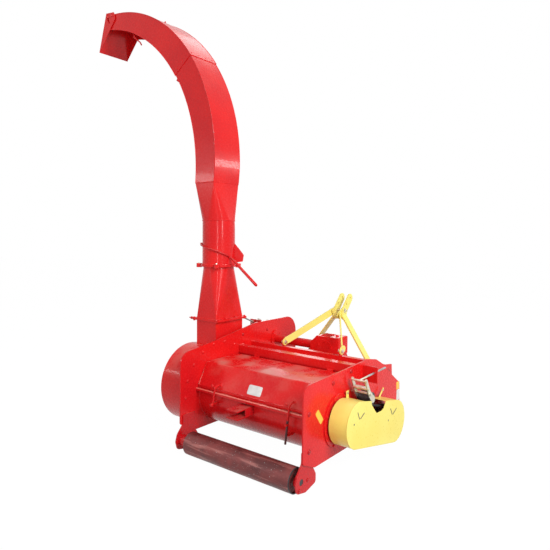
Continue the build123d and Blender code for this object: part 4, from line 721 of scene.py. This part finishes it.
def addSpoutWelds():
    swivel = jointAt["spout_swivel"]
    footLow, footHigh = corners("spout_transition")
    left, right = (swivel[0] + shift for shift in spoutWelds["ductFoot"])
    grids = [ringWeld((swivel[0], swivel[1], footLow[2]), spoutWelds["tube"])]
    grids += boxWelds(left, right, footLow[1], footHigh[1], footHigh[2])
    # the turning ring's seam
    grids.append(ringWeld(swivel + spoutWelds["seamUp"] * zAxis, spoutWelds["tube"], spoutWelds["seamSize"]))
    makePiece("spout_welds", grids, "spout")


addSpoutWelds()

ductSeams = {
    # each arc's centre from the swivel's axis and the duct's foot, its radius, and first, lap and last angle
    "outer": ((-1.323, 0.187), 1.417, (-7.5, 39.0, 88.6)),
    "inner": ((-1.498, 0.119), 1.381, (-4.9, 36.6, 64.3)),
    "overlap": 2.5, "grown": 0.0043, "bead": 0.0024, "step": 0.02,
    "rivetRadii": (1.245, 1.32, 1.385), "rivetRows": 4, "rivetIn": 0.03, "rivet": 0.0055,
}


def addDuctSeams():
    # beads along the duct's edges
    swivelX, foot = jointAt["spout_swivel"][0], high("spout_transition")[2]
    grids, rivets, ways = [], [], []
    for edge, sign in (("outer", 1), ("inner", -1)):
        (shiftX, shiftZ), radius, (first, lap, last) = ductSeams[edge]
        centre = np.array([swivelX + shiftX, 0.0, foot + shiftZ])
        lapStart = lap - ductSeams["overlap"]
        for name, growth, start, end in (("lower_duct", 0.0, first, lapStart),
                                         ("upper_duct", ductSeams["grown"], lapStart, last)):
            for y in (low(name)[1], high(name)[1]):
                path = arc(centre + y * yAxis, radius + sign * growth, start, end, xAxis, zAxis,
                           ductSeams["step"])
                grids.append(along(path, ductSeams["bead"], helper=yAxis))
    # rivets round the lap joint
    (shiftX, shiftZ), radius, (_, lap, _) = ductSeams["outer"]
    turn = math.radians(lap - ductSeams["overlap"] / 2)
    outward = math.cos(turn) * xAxis + math.sin(turn) * zAxis
    centre = np.array([swivelX + shiftX, 0.0, foot + shiftZ])
    ductLow, ductHigh = low("upper_duct")[1], high("upper_duct")[1]
    for y, way in ((ductLow, -yAxis), (ductHigh, yAxis)):
        rivets += [centre + reach * outward + y * yAxis for reach in ductSeams["rivetRadii"]]
        ways += [way] * len(ductSeams["rivetRadii"])
    ys = np.linspace(ductLow + ductSeams["rivetIn"], ductHigh - ductSeams["rivetIn"], ductSeams["rivetRows"])
    rivets += [centre + (radius + ductSeams["grown"]) * outward + y * yAxis for y in ys]
    ways += [outward] * len(ys)
    grids.append(turned(np.array(rivets), np.array(ways), domeHead(ductSeams["rivet"])))
    makePiece("duct_seams", grids, "spout")


addDuctSeams()

spoutTabs = {
    # start, end, width direction, half width and half thickness of each small tab on the spout
    "bars": [((-1.530, 0.690, 3.484), (-1.538, 0.690, 3.512), (1.0, 0.0, 0.3), 0.016, 0.003),
             ((-1.030, 0.415, 2.846), (-1.046, 0.415, 2.822), (0.5, 0.0, 0.8), 0.014, 0.003)],
    # bent rod under the duct, near the flap, and the lug at its third point
    "hook": [(-1.640, 0.425, 3.352), (-1.632, 0.425, 3.325), (-1.612, 0.425, 3.300), (-1.580, 0.425, 3.276),
             (-1.548, 0.425, 3.252), (-1.530, 0.425, 3.226)],
    "hookRadius": 0.006, "lug": ((-0.02, 0.0, 0.012), (0.03, 0.0, -0.018)), "lugHalf": (0.012, 0.0025),
}


def addSpoutTabs():
    grids = [flatBar(*row) for row in spoutTabs["bars"]]
    grids.append(along(spoutTabs["hook"], spoutTabs["hookRadius"], helper=yAxis))
    lugStart, lugEnd = np.array(spoutTabs["hook"][2]) + np.array(spoutTabs["lug"])
    grids.append(flatBar(lugStart, lugEnd, yAxis, *spoutTabs["lugHalf"]))
    makePiece("spout_tabs", grids, "spout")


addSpoutTabs()

frameWelds = {
    # first and last angle round the trough and round the drum
    "trough": (165, 345), "drum": (-60, 240), "drumRadius": 0.304, "socketIn": 0.004, "socketSize": 1.2,
}


def addFrameWelds():
    innerFaces = (high("left_side_plate")[0], low("right_side_plate")[0])
    grids = []
    # where the beams meet the side plates
    for name in ("rear_beam", "front_beam", "hitch_beam"):
        (_, nearY, bottom), (_, farY, top) = corners(name)
        for x in innerFaces:
            for y in (nearY, farY):
                grids.append(weld(straight((x, y, bottom), (x, y, top)), helper=xAxis))
            grids.append(weld(straight((x, nearY, top), (x, farY, top)), helper=xAxis))
    # round the outside of the trough at both side plates
    _, augerY, augerZ = jointAt["auger_spin"]
    troughRadius = augerZ - low("auger_trough")[2]
    for x in innerFaces:
        path = arc((x, augerY, augerZ), troughRadius, *frameWelds["trough"], yAxis, zAxis)
        grids.append(weld(path, helper=xAxis))
    # the drum's rim against its flange
    centre, _ = drumCircle(low("left_side_plate")[0] - drumBolts["flange"])
    path = arc(centre, frameWelds["drumRadius"], *frameWelds["drum"], yAxis, zAxis)
    grids.append(weld(path, helper=xAxis))
    # socket plates on the trough
    socketLow, socketHigh = corners("drawbar_socket")
    y = socketHigh[1] - frameWelds["socketIn"]
    for z in (socketLow[2], socketHigh[2]):
        path = straight((socketLow[0], y, z), (socketHigh[0], y, z))
        grids.append(weld(path, helper=zAxis, size=frameWelds["socketSize"]))
    makePiece("frame_welds", grids)


addFrameWelds()

neckWelds = {"ring": 0.122, "ringSize": 1.2, "fromFlange": 0.009, "inset": 0.032}


def addNeckWelds():
    swivel = jointAt["spout_swivel"]
    boxLow, boxHigh = corners("outlet_box")
    inset, away = neckWelds["inset"], neckWelds["fromFlange"]
    grids = [ringWeld(swivel - away * zAxis, neckWelds["ring"], neckWelds["ringSize"])]
    nearY, farY = boxLow[1] + inset / 2, boxHigh[1] - inset / 2
    for z in (boxHigh[2] + away, boxHigh[2] - away):
        grids += boxWelds(boxLow[0] + inset, boxHigh[0] - inset, nearY, farY, z)
    makePiece("neck_welds", grids)


addNeckWelds()
print("welds done")

guardMarks = {
    # foot and tip, in y and z, of each pressed slot, and the two vent holes, all drawn near black as painted
    # shade inside the openings
    "slots": [((0.410, 0.386), (0.384, 0.438)), ((0.420, 0.386), (0.474, 0.412)),
              ((0.888, 0.290), (0.858, 0.341)), ((0.898, 0.290), (0.957, 0.320))],
    "holes": [(0.340, 0.371), (0.827, 0.265)], "width": 0.0038, "hole": 0.006, "thick": 0.0006,
    # start, end, width direction, half width and half thickness of the tabs that hold the guard
    "tabs": [((0.5615, 0.474, 0.478), (0.5615, 0.474, 0.532), (0.0, 1.0, 0.0), 0.015, 0.0015),
             ((0.5615, 0.930, 0.371), (0.5615, 1.006, 0.430), (0.0, 0.6, -0.8), 0.008, 0.0015)],
    "screws": [(0.563, 0.474, 0.516), (0.563, 0.992, 0.419)], "screw": 0.006,
    # the notch's two sides as shares of the upper line, from the rear
    "notch": (0.715, 0.24), "rim": 0.0022, "arcStep": 0.008, "lineStep": 0.02,
}


def addGuardMarks():
    face = high("right_belt_guard")[0]
    grids = []
    for foot, tip in guardMarks["slots"]:
        foot, tip = np.array([face, *foot]), np.array([face, *tip])
        grids.append(thinPlate((foot + tip) / 2, tip - foot, np.cross(xAxis, tip - foot),
                               np.linalg.norm(tip - foot) / 2, guardMarks["width"], guardMarks["thick"]))
    holes = [(face, y, z) for y, z in guardMarks["holes"]]
    grids.append(turned(holes, xAxis, flatDisc(guardMarks["hole"], guardMarks["thick"])))
    # slots and holes in near black: painted shade inside them
    makePiece("guard_slots", grids, "frame", blackPlasticAndShade)
    # rim round the closed face: two half circles joined by lines, open between both sides of the notch
    auger, rotor = jointAt["auger_spin"], jointAt["rotor_spin"]
    radius = auger[1] - low("right_belt_guard")[1]
    tilt = math.degrees(math.atan2(rotor[2] - auger[2], rotor[1] - auger[1]))
    x, arcStep, lineStep = face - guardMarks["rim"], guardMarks["arcStep"], guardMarks["lineStep"]
    front = arc((x, rotor[1], rotor[2]), radius, tilt + 90, tilt - 90, yAxis, zAxis, arcStep)
    rear = arc((x, auger[1], auger[2]), radius, tilt + 270, tilt + 90, yAxis, zAxis, arcStep)
    notchFront, notchRear = ((1 - share) * rear[-1] + share * front[0] for share in guardMarks["notch"])
    path = np.concatenate([straight(notchFront, front[0], lineStep)[:-1], front,
                           straight(front[-1], rear[0], lineStep)[1:-1], rear,
                           straight(rear[-1], notchRear, lineStep)[1:]])
    tabs = [flatBar(*row) for row in guardMarks["tabs"]]
    makePiece("guard_rim", [along(path, guardMarks["rim"], helper=xAxis)] + tabs, "frame", yellowPaint)
    screws = turned(guardMarks["screws"], xAxis, hexHead(guardMarks["screw"]))
    makePiece("guard_tab_screws", [screws], "frame", zincPlate)


addGuardMarks()

lidTrim = {
    "rim": 0.0034, "rimIn": 0.002, "ridge": (0.252, 0.598), "hingeZ": 0.602,
    "sideStep": 0.05, "longStep": 0.1,
    "lip": (0.427, 0.446), "lipIn": 0.003, "lipThick": 0.0015,
    "knob": 0.013, "knobs": [(-0.346, 0.130, 0.474), (0.313, 0.130, 0.474)],
    "sillEdge": 0.0042, "sillEdgeIn": 0.0025,
}


def addLidTrim():
    # rolled rim along the lid's edges, both sides in a pale pink that is a painted highlight
    lidLow, lidHigh = corners("hood_lid")
    foot = (lidLow[1] + lidTrim["rimIn"], lidLow[2] + lidTrim["rimIn"])
    hinge = (lidHigh[1], lidTrim["hingeZ"])
    grids = []
    for x in (lidLow[0], lidHigh[0]):
        for start, end in ((foot, lidTrim["ridge"]), (lidTrim["ridge"], hinge)):
            path = straight((x, *start), (x, *end), lidTrim["sideStep"])
            grids.append(along(path, lidTrim["rim"], helper=xAxis))
    makePiece("lid_rim", grids, "lid", redPaintedHighlight)
    # the same rim along the foot, a lip folded down over the sill, and two knobs
    path = straight((lidLow[0], *foot), (lidHigh[0], *foot), lidTrim["longStep"])
    footRim = along(path, lidTrim["rim"])
    lipY, (lipLow, lipHigh) = lidLow[1] + lidTrim["lipIn"], lidTrim["lip"]
    lipEnds = [(x, lipY, (lipLow + lipHigh) / 2) for x in (lidLow[0], lidHigh[0])]
    lip = flatBar(*lipEnds, zAxis, (lipHigh - lipLow) / 2, lidTrim["lipThick"])
    knobs = turned(lidTrim["knobs"], -yAxis, domeHead(lidTrim["knob"]))
    makePiece("lid_lip", [footRim, lip, knobs], "lid")
    # edge of the sill, in a pale pink that is a painted highlight
    (sillLow, sillHigh), inset = corners("lid_sill"), lidTrim["sillEdgeIn"]
    front, top = sillLow[1] + inset, sillHigh[2] - inset
    path = straight((sillLow[0], front, top), (sillHigh[0], front, top), lidTrim["longStep"])
    makePiece("sill_edge", [along(path, lidTrim["sillEdge"])], "frame", redPaintedHighlight)


addLidTrim()

latchTrim = {
    # line of each lever from the lid's hook down, its pivot bolt, its catch's x and z, and one lever's sleeve
    "levers": [[(0.338, 0.181, 0.484), (0.339, 0.156, 0.487), (0.336, 0.131, 0.462), (0.327, 0.130, 0.387),
                (0.3127, 0.130, 0.253), (0.3083, 0.130, 0.216)],
               [(-0.310, 0.176, 0.474), (-0.310, 0.154, 0.482), (-0.320, 0.131, 0.462),
                (-0.331, 0.130, 0.411), (-0.343, 0.130, 0.348), (-0.3492, 0.130, 0.322)]],
    "bolts": [(0.3225, 0.125, 0.345), (-0.345, 0.125, 0.338)], "catches": [(0.3155, 0.275), (-0.3445, 0.345)],
    "sleeve": [(0.3253, 0.130, 0.372), (0.3127, 0.130, 0.253), (0.3083, 0.130, 0.2155)],
    "sleeveRadius": 0.0074, "radius": 0.0065, "steps": 8,
    "knob": 0.013, "knobSunk": 0.004, "lidSlope": (0.0, -0.873, 0.488),
    "bolt": [(0, -0.004), (0.010, -0.004, 1), (0.010, 0.016, 1), (0, 0.016, 1)],
    "catchStart": 0.1395, "catchHalf": (0.013, 0.007), "trough": 0.2215,
}


# line that rounds the corners: (1 - t)^2 * middle before + 2 t (1 - t) * corner + t^2 * middle after
def rounded(points, steps):
    points = np.asarray(points, float)
    middles = (points[:-1] + points[1:]) / 2
    share = np.linspace(0, 1, steps, endpoint=False)[:, None]
    parts = [(1 - share) ** 2 * before + 2 * share * (1 - share) * corner + share ** 2 * after
             for before, corner, after in zip(middles[:-1], points[1:-1], middles[1:])]
    return np.concatenate([points[:1], *parts, middles[-1:], points[-1:]])


def addLatches():
    grids = [along(rounded(line, latchTrim["steps"]), latchTrim["radius"], helper=xAxis)
             for line in latchTrim["levers"]]
    tops = np.array([line[0] for line in latchTrim["levers"]])
    slopeOut = unit(np.array(latchTrim["lidSlope"]))
    grids.append(turned(tops - latchTrim["knobSunk"] * slopeOut, slopeOut, domeHead(latchTrim["knob"])))
    grids.append(turned(latchTrim["bolts"], -yAxis, latchTrim["bolt"]))
    levers = makePiece("lid_latch_levers", grids, "lid")
    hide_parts("lid_latches")
    # near black red-brown sleeve over the lower part of the right lever
    sleeve = along(latchTrim["sleeve"], latchTrim["sleeveRadius"], helper=xAxis)
    makePiece("latch_sleeve", [sleeve], "lid", darkSleeveMetal)
    # each catch ends on the trough: axis y - (radius^2 - height above axis^2)^0.5
    auger = jointAt["auger_spin"]
    bars = []
    for x, z in latchTrim["catches"]:
        end = auger[1] - math.sqrt(latchTrim["trough"] ** 2 - (z - auger[2]) ** 2)
        bars.append(flatBar((x, latchTrim["catchStart"], z), (x, end, z), xAxis, *latchTrim["catchHalf"]))
    catches = makePiece("lid_latch_catches", bars)
    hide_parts("latch_catches")


addLatches()

hingeStrip = {"halfLong": 0.527, "y": 0.6125, "z": 0.60325, "half": (0.00625, 0.0012)}


def addHingeStrip():
    # strip under the first beam that closes the slot behind the lid's hinge
    ends = [(side * hingeStrip["halfLong"], hingeStrip["y"], hingeStrip["z"]) for side in (-1, 1)]
    makePiece("hinge_strip", [flatBar(*ends, zAxis, *hingeStrip["half"])])


addHingeStrip()

gripTrim = {
    "start": (-0.519, 0.5389, 1.352), "end": (-0.2445, 0.4921, 1.1756),
    "radius": 0.0115, "slim": 0.0085, "startTaper": 0.02, "endTaper": 0.006,
}


def addGrip():
    # thicker grip on the straight end of the turning rod
    start, end = np.array(gripTrim["start"]), np.array(gripTrim["end"])
    reach = np.linalg.norm(end - start)
    wide, slim = gripTrim["radius"], gripTrim["slim"]
    profile = [(0, 0), (slim, 0), (wide, gripTrim["startTaper"]), (wide, reach - gripTrim["endTaper"]),
               (slim, reach), (0, reach)]
    makePiece("turning_grip", [turned(start, unit(end - start), profile)], "spout")


addGrip()

flangeTab = {
    "start": (-0.800, 0.386, 0.888), "end": (-0.852, 0.386, 0.888), "half": (0.013, 0.004),
    "bolt": (-0.838, 0.386), "head": 0.009,
}


def addFlangeTab():
    # tab with a bolt at the rear corner of the neck's flange
    middle, halfThick = flangeTab["start"][2], flangeTab["half"][1]
    grids = [flatBar(flangeTab["start"], flangeTab["end"], yAxis, *flangeTab["half"]),
             turned((*flangeTab["bolt"], middle + halfThick), zAxis, domeHead(flangeTab["head"])),
             turned((*flangeTab["bolt"], middle - halfThick), -zAxis, hexHead(flangeTab["head"]))]
    makePiece("flange_tab", grids)


addFlangeTab()

labels = {
    # the lid's plate: foot of its slope, way up it, and how far up and out the middle lies
    "lidFoot": (0.002, 0.166, 0.444), "lidUp": (0.0, 0.086, 0.154), "upSlope": 0.052, "offSlope": 0.0042,
    "lidPlate": (0.060, 0.034, 0.002),
    # middle in y and z, half width, half height and thickness of each on the side plate
    "sticker": ((0.173, 0.432), (0.050, 0.020, 0.0012)), "stickerTilt": -53,
    "upper": ((1.305, 0.380), (0.026, 0.030, 0.0012)), "lower": ((1.310, 0.305), (0.026, 0.042, 0.0012)),
    "holes": [(1.147, 0.532), (1.126, 0.544)], "hole": (0.0055, 0.0005),
}


def addLabels():
    # blank plates and stickers, finished but bare
    up = unit(np.array(labels["lidUp"]))
    out = np.cross(xAxis, up)
    centre = np.array(labels["lidFoot"]) + labels["upSlope"] * up + labels["offSlope"] * out
    makePiece("lid_blank_plate", [thinPlate(centre, xAxis, up, *labels["lidPlate"])], "lid", blankWhite)
    side = high("right_side_plate")[0]
    tilt = math.radians(labels["stickerTilt"])
    (stickerAt, stickerSize), (upperAt, upperSize), (lowerAt, lowerSize) = (
        labels[key] for key in ("sticker", "upper", "lower"))
    grids = [thinPlate((side, *stickerAt), (0.0, math.cos(tilt), math.sin(tilt)),
                       (0.0, -math.sin(tilt), math.cos(tilt)), *stickerSize),
             thinPlate((side, *upperAt), yAxis, zAxis, *upperSize)]
    makePiece("side_blank_stickers", grids, "frame", blankYellow)
    # small holes drawn as near black discs: painted shade inside them
    holes = [(side, y, z) for y, z in labels["holes"]]
    makePiece("plate_holes", [turned(holes, xAxis, flatDisc(*labels["hole"]))], "frame", blackPlasticAndShade)
    label = thinPlate((side, *lowerAt), yAxis, zAxis, *lowerSize)
    makePiece("side_blank_label", [label], "frame", blankWhite)


addLabels()
print("guard marks and blank labels done")

# camera: its place, how far it looks left, down and leans, and the lens
cameraSet = {
    "place": (2.2748, -2.5137, 1.5438), "left": 37.957, "down": 2.148, "lean": 0.4775,
    "sensor": 36.0, "lens": 34.085, "shiftY": -0.0335, "farClip": 200.0,
}


# pose of a camera or lamp from its right, up and backward directions and its place
def pose(side, up, back, place):
    turn = np.eye(4)
    turn[:3, :3] = np.stack([side, up, back], 1)
    turn[:3, 3] = origin + place
    return Matrix(turn)


def addCamera():
    left, down, lean = (math.radians(cameraSet[key]) for key in ("left", "down", "lean"))
    ahead = np.array([-math.sin(left) * math.cos(down), math.cos(left) * math.cos(down), -math.sin(down)])
    side = np.array([math.cos(left), math.sin(left), 0.0])
    up = np.cross(side, ahead)
    side, up = side * math.cos(lean) + up * math.sin(lean), up * math.cos(lean) - side * math.sin(lean)
    camera = addObject("camera", bpy.data.cameras.new("camera"))
    camera.matrix_world = pose(side, up, -ahead, cameraSet["place"])
    camera.data.sensor_width = cameraSet["sensor"]
    camera.data.lens = cameraSet["lens"]
    camera.data.shift_y = cameraSet["shiftY"]
    camera.data.clip_end = cameraSet["farClip"]
    bpy.context.scene.camera = camera


addCamera()

studio = {
    # place, aimed at, size and power of each soft light
    "lamps": [((8.0, -0.8, 6.6), (-0.3, 0.4, 1.3), (3.4, 3.4), 640.0),
              ((3.9, -1.2, 2.6), (-0.7, 0.5, 1.6), (0.35, 2.2), 50.0),
              ((3.7, -5.6, 2.3), (-0.7, 0.5, 1.4), (0.4, 2.8), 70.0),
              ((4.0, 5.4, 2.8), (-0.7, 0.5, 2.0), (1.2, 0.5), 42.0),
              ((-4.2, -3.9, 2.5), (-0.6, 0.4, 1.6), (2.2, 0.4), 34.0),
              ((-4.2, 6.2, 2.2), (0.0, 0.4, 0.6), (2.4, 0.9), 22.0),
              ((-2.4, 3.9, 6.4), (-1.0, 0.5, 2.9), (1.8, 1.8), 20.0),
              ((-1.5, -7.6, 6.4), (-0.2, 0.4, 1.0), (3.4, 3.4), 165.0)],
    "world": 0.30, "floor": 30.0, "floorTones": ((0.50, 0.50, 0.50), (0.4, 0.4, 0.4)), "toneShare": 0.02,
    "floorNoise": (3.0, 2.0), "floorLevels": (0.3, 0.7), "floorRough": 0.8,
    "floorWhite": 0.96, "floorGlow": 1.03,
}


# 1 for what is seen directly, through glass or in a gloss, and 0 for the light that falls on the part
def seenRays(tree):
    rays = tree.nodes.new("ShaderNodeLightPath")
    seen = calc(tree, "MAXIMUM", rays.outputs["Is Camera Ray"], rays.outputs["Is Transmission Ray"])
    return calc(tree, "MAXIMUM", seen, rays.outputs["Is Glossy Ray"])


def addLamps():
    for number, (place, target, size, power) in enumerate(studio["lamps"]):
        lamp = addObject(f"lamp{number}", bpy.data.lights.new(f"lamp{number}", "AREA"))
        lamp.data.shape = "RECTANGLE"
        lamp.data.size, lamp.data.size_y = size
        lamp.visible_camera = False
        lamp.data.energy = power
        back = unit(np.array(place) - target)
        side = unit(np.cross(zAxis, back))
        lamp.matrix_world = pose(side, np.cross(back, side), back, place)


def addWorld():
    world = bpy.data.worlds.new("studio")
    bpy.context.scene.world = world
    world.use_nodes = True
    tree = world.node_tree
    tree.nodes.clear()
    background = tree.nodes.new("ShaderNodeBackground")
    background.inputs["Color"].default_value = (1.0, 1.0, 1.0, 1.0)
    output = tree.nodes.new("ShaderNodeOutputWorld")
    strength = spread(tree, seenRays(tree), 0.0, 1.0, studio["world"], 1.0)
    link(strength, background.inputs["Strength"])
    link(background.outputs[0], output.inputs[0])


def addFloor():
    # pale floor that looks as white as the world
    half = studio["floor"]
    mesh = bpy.data.meshes.new("floor")
    spots = [(-half, -half, 0), (half, -half, 0), (half, half, 0), (-half, half, 0)]
    mesh.from_pydata(spots, [], [(0, 1, 2, 3)])
    floor = addObject("floor", mesh)
    material, tree, shader, coords = startMaterial("floorPale")
    cloud = noise(tree, coords, *studio["floorNoise"])
    tone = spread(tree, cloud, *studio["floorLevels"], 0.0, studio["toneShare"])
    link(blendColour(tree, tone, *studio["floorTones"]), shader.inputs["Base Color"])
    shader.inputs["Roughness"].default_value = studio["floorRough"]
    white = tree.nodes.new("ShaderNodeEmission")
    white.inputs["Strength"].default_value = studio["floorGlow"]
    mixer = tree.nodes.new("ShaderNodeMixShader")
    output = next(node for node in tree.nodes if node.type == "OUTPUT_MATERIAL")
    link(calc(tree, "MULTIPLY", seenRays(tree), studio["floorWhite"]), mixer.inputs[0])
    link(shader.outputs[0], mixer.inputs[1])
    link(white.outputs[0], mixer.inputs[2])
    link(mixer.outputs[0], output.inputs[0])
    mesh.materials.append(material)


addLamps()
addWorld()
addFloor()
bpy.context.scene.view_settings.view_transform = "Standard"
print("camera and studio done")
